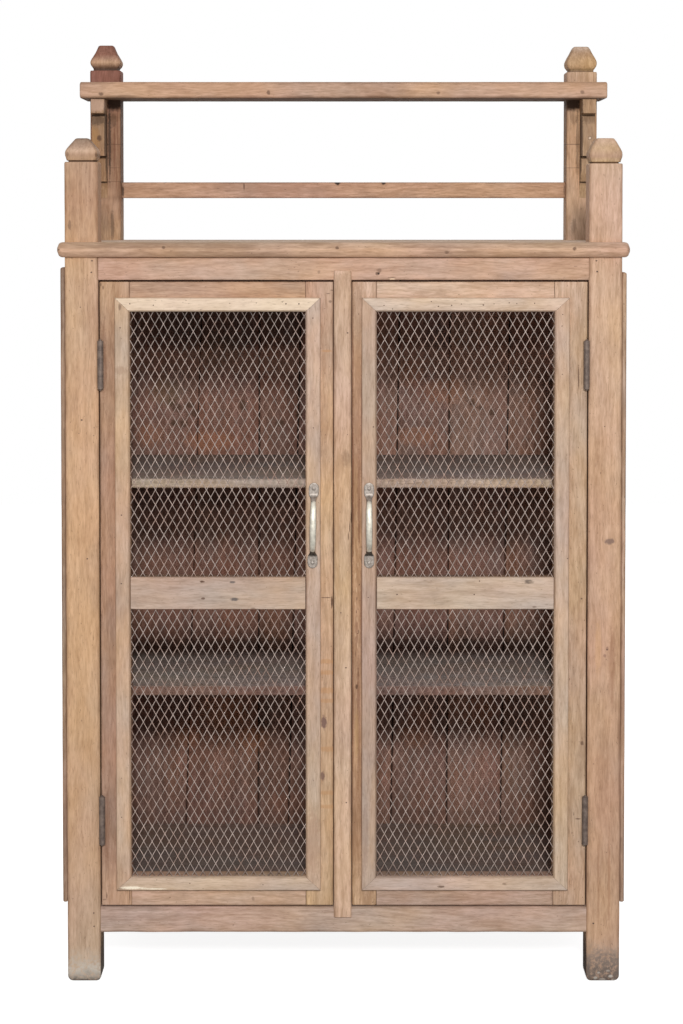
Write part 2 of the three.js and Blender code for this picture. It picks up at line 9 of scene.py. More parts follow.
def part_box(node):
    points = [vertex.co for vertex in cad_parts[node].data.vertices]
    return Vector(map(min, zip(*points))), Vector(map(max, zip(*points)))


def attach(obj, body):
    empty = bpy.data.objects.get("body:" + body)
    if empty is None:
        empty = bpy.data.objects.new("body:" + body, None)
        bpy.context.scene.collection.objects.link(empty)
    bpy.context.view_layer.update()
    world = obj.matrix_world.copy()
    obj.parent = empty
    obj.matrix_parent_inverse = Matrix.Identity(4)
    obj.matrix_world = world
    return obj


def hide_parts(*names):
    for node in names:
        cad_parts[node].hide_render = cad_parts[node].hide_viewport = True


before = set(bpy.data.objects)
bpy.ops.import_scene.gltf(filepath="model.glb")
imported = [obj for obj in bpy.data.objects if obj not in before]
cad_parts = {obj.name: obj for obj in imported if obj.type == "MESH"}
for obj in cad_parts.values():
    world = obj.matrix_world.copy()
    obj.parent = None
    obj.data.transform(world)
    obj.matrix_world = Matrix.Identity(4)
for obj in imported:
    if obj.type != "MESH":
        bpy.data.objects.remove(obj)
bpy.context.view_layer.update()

# Camera. It stands in front of the posts' front faces at chest height. A small tilt does part of
# the framing, and the shift is only what keeps the posts upright in the picture.
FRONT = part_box("front_left_post")[0].y
FLOOR_TO_EYE = 1.2221
EYE_DISTANCE = 3.6724
TILT = math.radians(2.1713)
camera_data = bpy.data.cameras.new("camera")
camera = bpy.data.objects.new("camera", camera_data)
bpy.context.collection.objects.link(camera)
camera.location = (0.0, FRONT - EYE_DISTANCE, FLOOR_TO_EYE)
camera.rotation_euler = (math.pi / 2 - TILT, 0.0, 0.0)
camera_data.sensor_fit = "VERTICAL"
camera_data.sensor_height = 36.0
camera_data.lens = 81.46
camera_data.shift_x = -0.002
camera_data.shift_y = -0.2
bpy.context.scene.camera = camera
bpy.context.scene.view_settings.view_transform = "Standard"

# Floor. One wide plain sheet that the camera sees as white, like the surround behind it, and that
# still takes the shadow of the feet.
FLOOR_HALF = 6.0


def new_material(name):
    material = bpy.data.materials.new(name)
    material.use_nodes = True
    material.node_tree.nodes.clear()
    return material, material.node_tree


def feed(tree, socket, value):
    """Links a socket to another one or to a node's first output, or sets it to a plain value."""
    if isinstance(value, bpy.types.Node):
        value = value.outputs[0]
    if isinstance(value, bpy.types.NodeSocket):
        tree.links.new(value, socket)
    elif value is not None:
        socket.default_value = value


def add(tree, kind, *inputs, **settings):
    """A new shader node, with its inputs fed in the node's own order. None leaves one as it is."""
    made = tree.nodes.new("ShaderNode" + kind)
    for key, value in settings.items():
        setattr(made, key, value)
    for socket, value in zip(made.inputs, inputs):
        feed(tree, socket, value)
    return made


def paper_white():
    material, tree = new_material("studio_white")
    paper = add(tree, "BsdfDiffuse", (0.62, 0.62, 0.62, 1.0))
    glow = add(tree, "Emission", (1.0, 1.0, 1.0, 1.0), 0.88)
    both = add(tree, "AddShader", paper, glow)
    path = add(tree, "LightPath")
    shown = add(tree, "MixShader", path.outputs["Is Camera Ray"], paper, both)
    add(tree, "OutputMaterial", shown)
    return material


def meshed(name, verts, faces, *finishes):
    """A mesh object of these faces, with its materials."""
    mesh = bpy.data.meshes.new(name)
    mesh.from_pydata(verts, [], faces)
    for finish in finishes:
        mesh.materials.append(finish)
    piece = bpy.data.objects.new(name, mesh)
    bpy.context.collection.objects.link(piece)
    return piece


corners = [(x * FLOOR_HALF, y * FLOOR_HALF, 0) for x, y in ((-1, -1), (1, -1), (1, 1), (-1, 1))]
floor = meshed("studio_floor", corners, [(0, 1, 2, 3)], paper_white())

# Light. An even white surround, with one soft lamp above and behind the camera, so that the top board
# and the shelves throw their shadows on the back boards about a hand's width below themselves.
SURROUND = 0.42


def maths(tree, operation, *inputs, **settings):
    return add(tree, "Math", *inputs, operation=operation, **settings)


world = bpy.data.worlds.new("studio")
world.use_nodes = True
bpy.context.scene.world = world
sky = world.node_tree
sky.nodes.clear()
rays = add(sky, "LightPath")
seen = maths(sky, "MAXIMUM", rays.outputs["Is Camera Ray"], rays.outputs["Is Glossy Ray"])
level = maths(sky, "MULTIPLY_ADD", seen, 1.0 - SURROUND, SURROUND)
add(sky, "OutputWorld", add(sky, "Background", (1.0, 1.0, 1.0, 1.0), level))

LIT_SPOT = Vector((0.0, 0.0, 0.7))
lamp_data = bpy.data.lights.new("key_lamp", "AREA")
lamp_data.shape = "DISK"
lamp_data.size = 1.0
lamp_data.energy = 340.0
lamp = bpy.data.objects.new("key_lamp", lamp_data)
lamp.location = (0.25, -7.0, 3.4)
lamp.rotation_euler = (LIT_SPOT - lamp.location).to_track_quat("-Z", "Y").to_euler()
bpy.context.collection.objects.link(lamp)


# Posts. Four sticks of stripped teak, square in section, each carved at the top into a finial with
# a neck, a swelling and a tapered flat head. The feet are greyed and stained where they stood wet.
def srgb(r, g, b):
    """The colour that a photograph writes as these three numbers."""
    return tuple(((c / 255 + 0.055) / 1.055) ** 2.4 for c in (r, g, b)) + (1.0,)


def new_group(name, inputs, outputs):
    """An empty node group with sockets as (name, kind, default)."""
    group = bpy.data.node_groups.new(name, "ShaderNodeTree")
    for label, kind, default in inputs:
        socket = group.interface.new_socket(name=label, in_out="INPUT", socket_type="NodeSocket" + kind)
        if default is not None:
            socket.default_value = default
    for label, kind in outputs:
        group.interface.new_socket(name=label, in_out="OUTPUT", socket_type="NodeSocket" + kind)
    return group, group.nodes.new("NodeGroupInput").outputs, group.nodes.new("NodeGroupOutput").inputs


def ramp(tree, source, low, high, start=0.0, end=1.0):
    """Goes from start to end while the source goes from low to high, and holds beyond them."""
    return add(tree, "MapRange", source, low, high, start, end, clamp=True)


def mixed(tree, amount, first, second, kind="MIX"):
    """One colour from two, each a colour or what gives it."""
    mix = add(tree, "Mix", amount, data_type="RGBA", blend_type=kind)
    feed(tree, mix.inputs[6], first)
    feed(tree, mix.inputs[7], second)
    return mix.outputs[2]


def stripped_teak():
    """Teak with its finish stripped off, round the piece's own colour: short streaks, flecks and pores,
    pink and yellow patches, greyed clouds, small dark specks, and edges darkened in patches."""
    tree, given, out = new_group(
        "stripped_teak",
        [("Grain", "Vector", None), ("Wood", "Color", srgb(196, 160, 130)), ("Figure", "Float", 1.0),
         ("Greying", "Float", 0.4), ("Specks", "Float", 0.7), ("Edge", "Float", 0.0),
         ("Arches", "Float", 0.13), ("Soot", "Float", 0.55)],
        [("Color", "Color"), ("Roughness", "Float"), ("Height", "Float")],
    )
    grain = given["Grain"]

    def drawn_out(source, across, along, *settings):
        """Noise on a grain squeezed by these factors, with its scale, detail and roughness."""
        squeezed = add(tree, "VectorMath", source, (across, across, along), operation="MULTIPLY")
        return add(tree, "TexNoise", squeezed, None, *settings)

    def darkened(colour, amount, *tint):
        return mixed(tree, amount, colour, mixed(tree, 1.0, colour, (*tint, 1.0), "MULTIPLY"))

    drift = add(tree, "TexNoise", grain, None, 3.1, 2.0, 0.5)
    centred = add(tree, "VectorMath", drift.outputs["Color"], (0.5, 0.5, 0.5), operation="SUBTRACT")
    bend = add(tree, "VectorMath", centred, (0.03, 0.03, 0.0), operation="MULTIPLY")
    bent = add(tree, "VectorMath", grain, bend, operation="ADD")
    figure = drawn_out(bent, 110.0, 6.0, 1.0, 5.0, 0.66)
    lines = drawn_out(bent, 290.0, 36.0, 1.0, 3.0, 0.65)
    mottle = drawn_out(bent, 42.0, 19.0, 1.0, 3.0, 0.6)
    fibre = drawn_out(bent, 620.0, 60.0, 1.0, 2.0, 0.5)
    dashes = drawn_out(grain, 1050.0, 85.0, 1.0, 1.0, 0.5)
    dots = drawn_out(grain, 420.0, 210.0, 1.0, 1.0, 0.4)
    arches = drawn_out(grain, 9.0, 0.75, 1.0, 1.0, 0.4)
    clouds = drawn_out(grain, 1.0, 0.45, 13.0, 3.0, 0.6)
    patches = drawn_out(grain, 1.0, 0.5, 5.5, 3.0, 0.6)
    stains = drawn_out(grain, 1.0, 0.35, 21.0, 4.0, 0.65)

    level = maths(tree, "MULTIPLY_ADD", ramp(tree, figure, 0.33, 0.68), 0.47, 0.26)
    for layer, weight in ((mottle, 0.9), (lines, 2.3), (fibre, 0.9)):
        centred = maths(tree, "ADD", layer, -0.5)
        level = maths(tree, "MULTIPLY_ADD", centred, weight, level)
    wave = maths(tree, "SINE", maths(tree, "MULTIPLY", arches, 120.0))
    arched = maths(tree, "MULTIPLY_ADD", wave, given["Arches"], level)
    amount = maths(tree, "MULTIPLY", arched, given["Figure"], use_clamp=True)
    shade = mixed(tree, amount, (1.13, 1.14, 1.16, 1.0), (0.80, 0.755, 0.70, 1.0))
    wood = mixed(tree, 1.0, given["Wood"], shade, "MULTIPLY")
    patched = ramp(tree, patches, 0.36, 0.64)
    warmth = mixed(tree, patched, (1.03, 1.03, 0.93, 1.0), (1.0, 0.955, 0.985, 1.0))
    warm = mixed(tree, 1.0, wood, warmth, "MULTIPLY")
    soot = maths(tree, "MULTIPLY", ramp(tree, stains, 0.52, 0.74), given["Soot"])
    stained = darkened(warm, soot, 0.66, 0.62, 0.60)
    greyed = maths(tree, "MULTIPLY", ramp(tree, clouds, 0.40, 0.68), given["Greying"])
    dull = mixed(tree, greyed, stained, add(tree, "RGBToBW", stained))
    pores = ramp(tree, dashes, 0.60, 0.74)
    pored = darkened(dull, maths(tree, "MULTIPLY", pores, 0.4), 0.42, 0.36, 0.32)
    rare = maths(tree, "MULTIPLY", ramp(tree, dots, 0.735, 0.79), given["Specks"])
    speckled = darkened(pored, rare, 0.30, 0.25, 0.22)
    # The rounded edges are darkened in patches.
    rim = maths(tree, "POWER", given["Edge"], 1.7)
    patchy_edge = maths(tree, "MULTIPLY", rim, ramp(tree, clouds, 0.2, 0.55))
    edge_darkening = maths(tree, "MULTIPLY", patchy_edge, 0.7)
    feed(tree, out["Color"], darkened(speckled, edge_darkening, 0.62, 0.57, 0.53))

    feed(tree, out["Roughness"], maths(tree, "MULTIPLY_ADD", fibre, 0.22, 0.6))
    raised = maths(tree, "MULTIPLY_ADD", figure, 0.6, lines)
    feed(tree, out["Height"], maths(tree, "MULTIPLY_ADD", pores, -0.6, raised))
    return tree


def soft_mark():
    """A soft mark at one place, laid for knots, stains, painted shade and painted light alike: 1 at its
    centre, with a ragged rim. Its sizes are half-widths.
    """
    tree, given, out = new_group(
        "soft_mark",
        [("Place", "Vector", None), ("Ragged", "Float", 0.5), ("Centre", "Vector", (0, 0, 0)),
         ("Half sizes", "Vector", (0.01, 1.0, 0.01))],
        [("Mask", "Float")],
    )
    away = add(tree, "VectorMath", given["Place"], given["Centre"], operation="SUBTRACT")
    shares = add(tree, "VectorMath", away, given["Half sizes"], operation="DIVIDE")
    far = add(tree, "VectorMath", shares, operation="LENGTH").outputs["Value"]
    rough = maths(tree, "MULTIPLY_ADD", given["Ragged"], 0.9, far)
    feed(tree, out["Mask"], ramp(tree, rough, 1.05, 1.5, 1.0, 0.0))
    return tree


TEAK = stripped_teak()
SOFT_MARK = soft_mark()


def surfaced(tree, colour, roughness, bump=None, metallic=0.0, specular=0.5):
    """Ends a material in one Principled surface."""
    surface = add(tree, "BsdfPrincipled", colour, metallic, roughness)
    feed(tree, surface.inputs["Specular IOR Level"], specular)
    feed(tree, surface.inputs["Normal"], bump)
    add(tree, "OutputMaterial", surface)


def teak_finish(name, figure=1.0, greying=0.25, specks=0.5, marks=(), foot=(), arches=0.13, soot=0.55):
    """A teak material that takes each piece's colour from the piece. marks has colours in the order that
    they are laid on, each with its spots as (x, z, half width, half height, strength). Some are knots and
    stains, and some are painted shade and painted light. They are seen on every face but the top and the
    rear. foot is bands of stain up from the floor, as (height, strength, colour)."""
    material, tree = new_material(name)
    grain, wood, edge = (
        add(tree, "Attribute", attribute_name=attribute).outputs[output]
        for attribute, output in (("grain", "Vector"), ("wood", "Color"), ("edge", "Fac"))
    )
    teak = add(tree, "Group", grain, wood, figure, greying, specks, edge, arches, soot, node_tree=TEAK)
    colour = teak.outputs["Color"]
    where = add(tree, "TexCoord")
    place = where.outputs["Object"]
    if foot:
        height = add(tree, "SeparateXYZ", place).outputs["Z"]
        ragged = add(tree, "TexNoise", place, None, 60.0, 4.0, 0.65)
        blots = add(tree, "TexNoise", place, None, 210.0, 4.0, 0.7)
        thin = ramp(tree, blots, 0.38, 0.56, 0.25, 1.0)
    for rise, strength, mark_colour in foot:
        lifted = maths(tree, "MULTIPLY_ADD", ragged, -0.03, height)
        wet = ramp(tree, lifted, rise - 0.028, rise - 0.008, strength, 0.0)
        colour = mixed(tree, maths(tree, "MULTIPLY", wet, thin), colour, srgb(*mark_colour))
    if marks:
        rim = add(tree, "TexNoise", place, None, 260.0, 2.0, 0.5)
        turned = add(tree, "SeparateXYZ", where.outputs["Normal"])
        rearward = maths(tree, "MULTIPLY", turned.outputs["Y"], 1.6)
        turned_away = maths(tree, "MAXIMUM", rearward, turned.outputs["Z"])
        facing = maths(tree, "LESS_THAN", turned_away, 0.8)
    # The marks lay knots and stains, and also painted shade and painted light.
    for mark_colour, spots in marks:
        for x, z, half_wide, half_high, strength in spots:
            sizes = (half_wide, 1.0, half_high)
            spot = add(tree, "Group", place, rim, (x, 0.0, z), sizes, node_tree=SOFT_MARK)
            seen = maths(tree, "MULTIPLY", spot, facing)
            colour = mixed(tree, maths(tree, "MULTIPLY", seen, strength), colour, srgb(*mark_colour))
    bump = add(tree, "Bump", 0.35, 0.0006)
    feed(tree, bump.inputs["Height"], teak.outputs["Height"])
    surfaced(tree, colour, teak.outputs["Roughness"], bump, specular=0.25)
    return material


# For a grain along x, y or z: the two axes across it and the one along it, and the side that each
# quarter of a ring starts from. Rings stand about RING_STEP apart, and EDGE_ROW is how far in from
# an edge the flat part has its first row of points.
TURNED = {"x": (1, 2, 0), "y": (2, 0, 1), "z": (0, 1, 2)}
SIDES = {"x": ("bottom", "rear", "top", "front"), "y": ("left", "top", "right", "bottom"),
         "z": ("front", "right", "rear", "left")}
RING_STEP = 0.014
EDGE_ROW = 0.0035


def paint(colour):
    return Vector(srgb(*colour)[:3])


def tube(rings, ring):
    """The faces over rings of that many points each, with a cap at both ends."""
    skin = [(r * ring + i, r * ring + (i + 1) % ring, (r + 1) * ring + (i + 1) % ring, (r + 1) * ring + i)
            for r in range(rings - 1) for i in range(ring)]
    return skin + [tuple(reversed(range(ring))), tuple(range((rings - 1) * ring, rings * ring))]


def stick(node, body, along, finish, wood, stations=None, ease=0.0016, wear=0.5, end=None, faces=None,
          name=None, **ranges):
    """One piece of worn wood in place of a CAD node, skinned through rounded rectangles along its grain.

    Its box is the node's, apart from any x, y or z range given. A station is (place along the grain,
    [u range], [v range]). wood is its colour, or a list of (place, colour). faces gives some faces a colour
    of their own, and top_rear there is what the top fades to at its rear edge. ease is the edge radius, or
    one for each of the four edges, wear is how uneven it is, and end is the radius round the ends."""
    name = name or node + "_wood"
    low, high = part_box(node)
    box = [ranges.get(axis, (low[i], high[i])) for i, axis in enumerate("xyz")]
    iu, iv, iw = TURNED[along]
    if stations is None:
        stations = [(place, box[iu], box[iv]) for place in box[iw]]
    radii = [ease] * 4 if isinstance(ease, float) else list(ease)
    end = max(radii[0], 0.0012) if end is None else end
    seed = sum(ord(c) * (i + 3) for i, c in enumerate(name)) % 997 / 31.0

    def between(w):
        for (w0, u0, v0), (w1, u1, v1) in zip(stations, stations[1:]):
            if w <= w1:
                t = 0.0 if w1 == w0 else (w - w0) / (w1 - w0)
                return [[a + (b - a) * t for a, b in zip(p, q)] for p, q in ((u0, u1), (v0, v1))]
        return stations[-1][1:]

    first, last = stations[0][0], stations[-1][0]
    places = {s[0]: 0.0 for s in stations[1:-1]}
    steps = max(2, round((last - first) / RING_STEP))
    for i in range(1, steps):
        places.setdefault(first + (last - first) * i / steps, 0.0)
    for share in (0.0, 0.3, 0.65, 1.0):
        drop = end * (1 - math.sqrt(max(0.0, 1 - (1 - share) ** 2)))
        places[first + end * share] = drop
        places[last - end * share] = drop
    stops = [(place, paint(colour)) for place, colour in (wood if isinstance(wood, list) else [(0.0, wood)])]
    painted = {side: paint(colour) for side, colour in (faces or {}).items()}
    for place, colour in stops:
        if first + end < place < last - end:
            places.setdefault(place, 0.0)
    co, edge, colours = [], [], []

    def plain(w):
        for (w0, a), (w1, b) in zip(stops, stops[1:]):
            if w <= w1:
                return a.lerp(b, max(0.0, (w - w0) / (w1 - w0)))
        return stops[-1][1]

    for w in sorted(places):
        drop = places[w]
        (u0, u1), (v0, v1) = between(w)
        sides = ((u0 + drop, u1 - drop), (v0 + drop, v1 - drop))
        least = min(sides[0][1] - sides[0][0], sides[1][1] - sides[1][0])
        inset = min(EDGE_ROW, least * 0.1)
        here = plain(w)
        around = [painted.get(side, here) for side in SIDES[along]]
        onward = around[1:] + around[:1]
        if along == "x":
            onward[1] = painted.get("top_rear", onward[1])
        for index, (high_u, high_v) in enumerate(((1, 0), (1, 1), (0, 1), (0, 0))):
            colours += [around[index].lerp(onward[index], k / 5) for k in range(6)]
            chip = noise(Vector((w * 22.0, index * 9.1, seed)))
            chip += 0.6 * noise(Vector((w * 90.0, index * 5.3, seed)))
            radius = min(radii[index] * (1 + wear * max(chip, -0.7) * 1.6), least * 0.45)
            cu = sides[0][high_u] + (-radius if high_u else radius)
            cv = sides[1][high_v] + (-radius if high_v else radius)
            angles = [(index - 1) * math.pi / 2 + k * math.pi / 6 for k in range(4)]
            turn = [(radius * math.cos(a), radius * math.sin(a)) for a in angles]
            du, dv = inset * math.cos(angles[0]), inset * math.sin(angles[0])
            turn = [(turn[0][0] + dv, turn[0][1] - du), *turn, (turn[3][0] - du, turn[3][1] - dv)]
            co += [(cu + u, cv + v, w) for u, v in turn]
            edge += [0.0, 1.0, 1.0, 1.0, 1.0, 0.0]
    order = [(iu, iv, iw).index(axis) for axis in range(3)]
    verts = [tuple(c[k] for k in order) for c in co]
    grain = [(c[0] + seed, c[1] + seed * 1.7, c[2] + seed * 2.3) for c in co]
    return finished(name, node, body, verts, tube(len(places), 4 * 6), grain, edge, finish, colours)


def finished(name, node, body, verts, faces, grain, edge, finish, colours):
    """The object of a wooden piece, with its grain direction, edges and colours kept as mesh attributes."""
    piece = meshed(name, verts, faces, finish)
    piece.data.validate()
    for label, kind, field, values in (
            ("grain", "FLOAT_VECTOR", "vector", [v for g in grain for v in g]),
            ("edge", "FLOAT", "value", edge),
            ("wood", "FLOAT_COLOR", "color", [v for c in colours for v in (*c, 1.0)])):
        piece.data.attributes.new(label, kind, "POINT").data.foreach_set(field, values)
    piece.data.polygons.foreach_set("use_smooth", [len(f) == 4 for f in faces])
    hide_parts(node)
    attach(piece, body)
    return piece


# Each finial's outline above its shoulder line, as (share of its height, width in metres), from the
# saw cut at its foot. They were carved by hand, and the front left one is the most worn.
FRONT_FINIAL = [(0.0, 0.0415), (0.035, 0.0415), (0.045, 0.0468), (0.12, 0.0482), (0.24, 0.0515),
                (0.33, 0.0524), (0.44, 0.0515), (0.55, 0.0478), (0.72, 0.0407), (0.88, 0.0338),
                (0.97, 0.029), (1.0, 0.0262)]
WORN_FINIAL = [(0.0, 0.0412), (0.035, 0.0412), (0.05, 0.0462), (0.15, 0.0482), (0.27, 0.0507), (0.36, 0.0512),
               (0.46, 0.0497), (0.56, 0.0456), (0.7, 0.0378), (0.84, 0.0292), (0.95, 0.0226), (1.0, 0.0195)]
SLIM_FINIAL = [(0.0, 0.0420), (0.07, 0.0424), (0.13, 0.0462), (0.2, 0.0505), (0.29, 0.0526), (0.37, 0.0518),
               (0.47, 0.0476), (0.57, 0.0424), (0.7, 0.0360), (0.84, 0.0308), (1.0, 0.0252)]
STOUT_FINIAL = [(0.0, 0.0420), (0.07, 0.0424), (0.13, 0.0465), (0.21, 0.0508), (0.31, 0.0528), (0.4, 0.0521),
                (0.5, 0.0486), (0.6, 0.0440), (0.74, 0.0372), (0.88, 0.0316), (1.0, 0.0252)]
POST_WIDTH = 0.053


def post_stations(node, shoulder, finial):
    """A post's rings: a worn foot, the plain shaft, and the finial above its shoulder."""
    low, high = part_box(node)
    x, y = (low.x + high.x) / 2, (low.y + high.y) / 2
    widths = [(0.0, POST_WIDTH - 0.011), (0.0035, POST_WIDTH - 0.0045), (0.007, POST_WIDTH - 0.0008),
              (0.010, POST_WIDTH), (shoulder - 0.0025, POST_WIDTH), (shoulder - 0.0006, POST_WIDTH - 0.0018),
              (shoulder, finial[0][1])]
    widths += [(shoulder + share * (high.z - shoulder), width) for share, width in finial[1:]]
    return [(z, (x - w / 2, x + w / 2), (y - w / 2, y + w / 2)) for z, w in widths]


KNOT = (92, 66, 50)
DEEP_SHADE = (58, 43, 34)
LIME = (198, 190, 180)
# The narrow DEEP_SHADE mark up the inner side of each front foot is painted shade.
LEFT_POST = teak_finish("teak_front_left_post", 0.85, 0.15, 0.5, [
    (KNOT, [(-0.431, 1.165, 0.0035, 0.006, 0.7), (-0.434, 1.213, 0.003, 0.01, 0.5),
        (-0.4368, 1.325, 0.0025, 0.0045, 0.5), (-0.392, 1.324, 0.0025, 0.004, 0.6)]),
    (DEEP_SHADE, [(-0.415, 1.3505, 0.011, 0.0016, 0.9), (-0.418, 0.001, 0.018, 0.0028, 0.8),
        (-0.3885, 0.03, 0.0012, 0.055, 0.8)]),
], [(0.05, 0.7, (186, 170, 154)), (0.032, 0.9, (196, 187, 175)), (0.0135, 0.8, (92, 78, 68))])
RIGHT_POST = teak_finish("teak_front_right_post", 0.95, 0.15, 0.5, [
    ((122, 98, 88), [(0.4235, 0.7095, 0.0088, 0.0058, 0.8)]),
    ((150, 104, 78), [(0.4278, 0.512, 0.0062, 0.072, 0.34)]),
    ((132, 98, 84), [(0.4205, 0.5385, 0.0028, 0.0034, 0.6), (0.4168, 0.5265, 0.0028, 0.003, 0.55)]),
    ((214, 166, 112), [(0.406, 0.54, 0.006, 0.05, 0.25)]),
    ((150, 104, 72), [(0.425, 0.17, 0.0025, 0.1, 0.35), (0.408, 0.16, 0.002, 0.08, 0.3)]),
    (LIME, [(0.404, 0.006, 0.004, 0.003, 0.7), (0.428, 0.009, 0.004, 0.003, 0.7),
        (0.415, 0.0035, 0.007, 0.0025, 0.6), (0.433, 0.003, 0.004, 0.002, 0.6),
        (0.409, 0.015, 0.003, 0.002, 0.5), (0.424, 0.018, 0.004, 0.002, 0.4)]),
    (DEEP_SHADE, [(0.3885, 0.03, 0.0012, 0.055, 0.8)]),
], [(0.064, 0.55, (158, 140, 126)), (0.05, 0.85, (124, 110, 101)), (0.03, 0.6, (92, 82, 76))])
RUST_STREAK = (118, 70, 50)
# The DEEP_SHADE marks on the rear posts are painted shade: under the gallery shelf, beside the brackets, and
# lower down where the front posts shade them.
REAR_POST = teak_finish("teak_rear_posts", 1.25, 0.2, 0.7, [
    (KNOT, [(-0.4, 1.353, 0.06, 0.0009, 0.6), (-0.4, 1.312, 0.06, 0.0008, 0.5),
        (-0.4, 1.288, 0.06, 0.0008, 0.5), (0.4, 1.353, 0.06, 0.0009, 0.6),
        (0.4, 1.312, 0.06, 0.0008, 0.5)]),
    (DEEP_SHADE, [(-0.4, 1.425, 0.018, 0.016, 0.9), (0.4, 1.425, 0.018, 0.016, 0.9),
        (-0.4085, 1.36, 0.003, 0.08, 0.8), (0.4085, 1.36, 0.003, 0.08, 0.45),
        (-0.403, 1.395, 0.009, 0.016, 0.4), (0.402, 1.398, 0.008, 0.012, 0.25),
        (-0.389, 1.35, 0.0012, 0.09, 0.5), (0.389, 1.35, 0.001, 0.09, 0.4)]),
    (RUST_STREAK, [(-0.4, 1.345, 0.0014, 0.06, 0.55), (-0.3945, 1.375, 0.0012, 0.05, 0.5),
        (-0.3965, 1.29, 0.0012, 0.03, 0.4), (0.3945, 1.32, 0.0012, 0.05, 0.3)]),
    (DEEP_SHADE, [(-0.404, 1.212, 0.004, 0.03, 0.5), (0.402, 1.21, 0.006, 0.015, 0.3)]),
], [(0.04, 0.7, (120, 104, 92))])
# Each post's finish, its shoulder's height, its finial, and its colours from the foot up. The dark stops
# just above each shoulder are painted shade in its saw cut, and the stops up each finial mix its own
# colour with painted light and shade on the swelling and slopes.
POSTS = {
    "front_left_post": (LEFT_POST, 1.3135, WORN_FINIAL, [
        (0.05, (196, 166, 140)), (0.2, (193, 157, 126)), (0.7, (203, 163, 131)), (1.15, (198, 161, 130)),
        (1.25, (186, 146, 117)), (1.3125, (182, 145, 117)), (1.3136, (89, 64, 47)), (1.3152, (116, 87, 64)),
        (1.3165, (182, 145, 112)), (1.325, (178, 141, 114)), (1.331, (198, 164, 139)),
        (1.338, (172, 141, 120)), (1.35, (145, 119, 101))]),
    "front_right_post": (RIGHT_POST, 1.311, FRONT_FINIAL, [
        (0.05, (194, 160, 133)), (0.2, (188, 152, 124)), (0.7, (200, 163, 135)), (1.1, (205, 170, 144)),
        (1.25, (205, 172, 146)), (1.3102, (201, 169, 142)), (1.3111, (108, 82, 60)), (1.3126, (141, 111, 79)),
        (1.314, (196, 165, 125)), (1.322, (185, 151, 125)), (1.335, (195, 164, 130)),
        (1.346, (196, 164, 137))]),
    "rear_left_post": (REAR_POST, 1.482, SLIM_FINIAL, [
        (0.3, (164, 129, 105)), (1.2, (192, 155, 123)), (1.26, (175, 134, 106)), (1.4, (166, 125, 99)),
        (1.445, (141, 96, 80)), (1.481, (141, 95, 79)), (1.4825, (80, 60, 48)), (1.486, (104, 80, 62)),
        (1.490, (160, 128, 100)), (1.496, (196, 160, 126)), (1.503, (172, 132, 106)), (1.510, (146, 98, 76)),
        (1.526, (138, 90, 70))]),
    "rear_right_post": (REAR_POST, 1.4795, STOUT_FINIAL, [
        (0.3, (180, 141, 116)), (1.2, (210, 172, 145)), (1.4, (199, 159, 125)), (1.445, (194, 162, 139)),
        (1.4785, (194, 162, 139)), (1.480, (125, 100, 78)), (1.4835, (159, 131, 99)),
        (1.487, (202, 168, 131)), (1.50, (192, 157, 122)), (1.512, (180, 147, 120)),
        (1.521, (194, 170, 154))]),
}
for node, (finish, shoulder, finial, wood) in POSTS.items():
    stick(node, "carcass", "z", finish, wood, post_stations(node, shoulder, finial), ease=0.002, wear=0.6)

# Rails. They run between the posts, tenoned into them, so only the length between the posts shows.
BETWEEN_POSTS = (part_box("front_left_post")[1].x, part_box("front_right_post")[0].x)
BETWEEN_SIDES = (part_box("front_left_post")[1].y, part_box("rear_left_post")[0].y)
RAIL = teak_finish("teak_rails", 1.0, 0.3, marks=[
    (KNOT, [(0.053, 1.1362, 0.0032, 0.0032, 0.8), (0.0565, 1.1412, 0.005, 0.004, 0.5),
        (-0.039, 1.1385, 0.003, 0.003, 0.4)]),
    ((222, 190, 160), [(0.0775, 1.1275, 0.006, 0.002, 0.9)]),
    (KNOT, [(0.0775, 1.13, 0.008, 0.0008, 0.7)]),
    (DEEP_SHADE, [(0.0555, 1.1362, 0.0022, 0.0022, 1.0)]),
])
stick("front_top_rail", "carcass", "x", RAIL, (196, 161, 138), x=BETWEEN_POSTS, ease=0.0009, end=0.0004)
stick("front_bottom_rail", "carcass", "x", RAIL, (192, 163, 145), x=BETWEEN_POSTS, ease=0.0022, end=0.0004)
for side in ("left", "right"):
    for height in ("upper", "lower"):
        stick(f"{side}_{height}_side_rail", "carcass", "y", RAIL, (172, 142, 120), y=BETWEEN_SIDES)
GALLERY_RAIL = teak_finish("teak_gallery_rail", 1.35, 0.2, 0.7, [
    (DEEP_SHADE, [(-0.3872, 1.272, 0.0028, 0.013, 0.8), (0.3872, 1.274, 0.002, 0.013, 0.5),
        (-0.0105, 1.286, 0.006, 0.0045, 1.0), (0.07, 1.286, 0.005, 0.0035, 0.95)]),
    (KNOT, [(-0.1745, 1.2795, 0.0014, 0.008, 0.8)]),
])
stick("gallery_rail", "carcass", "x", GALLERY_RAIL, (197, 159, 135), x=BETWEEN_POSTS)

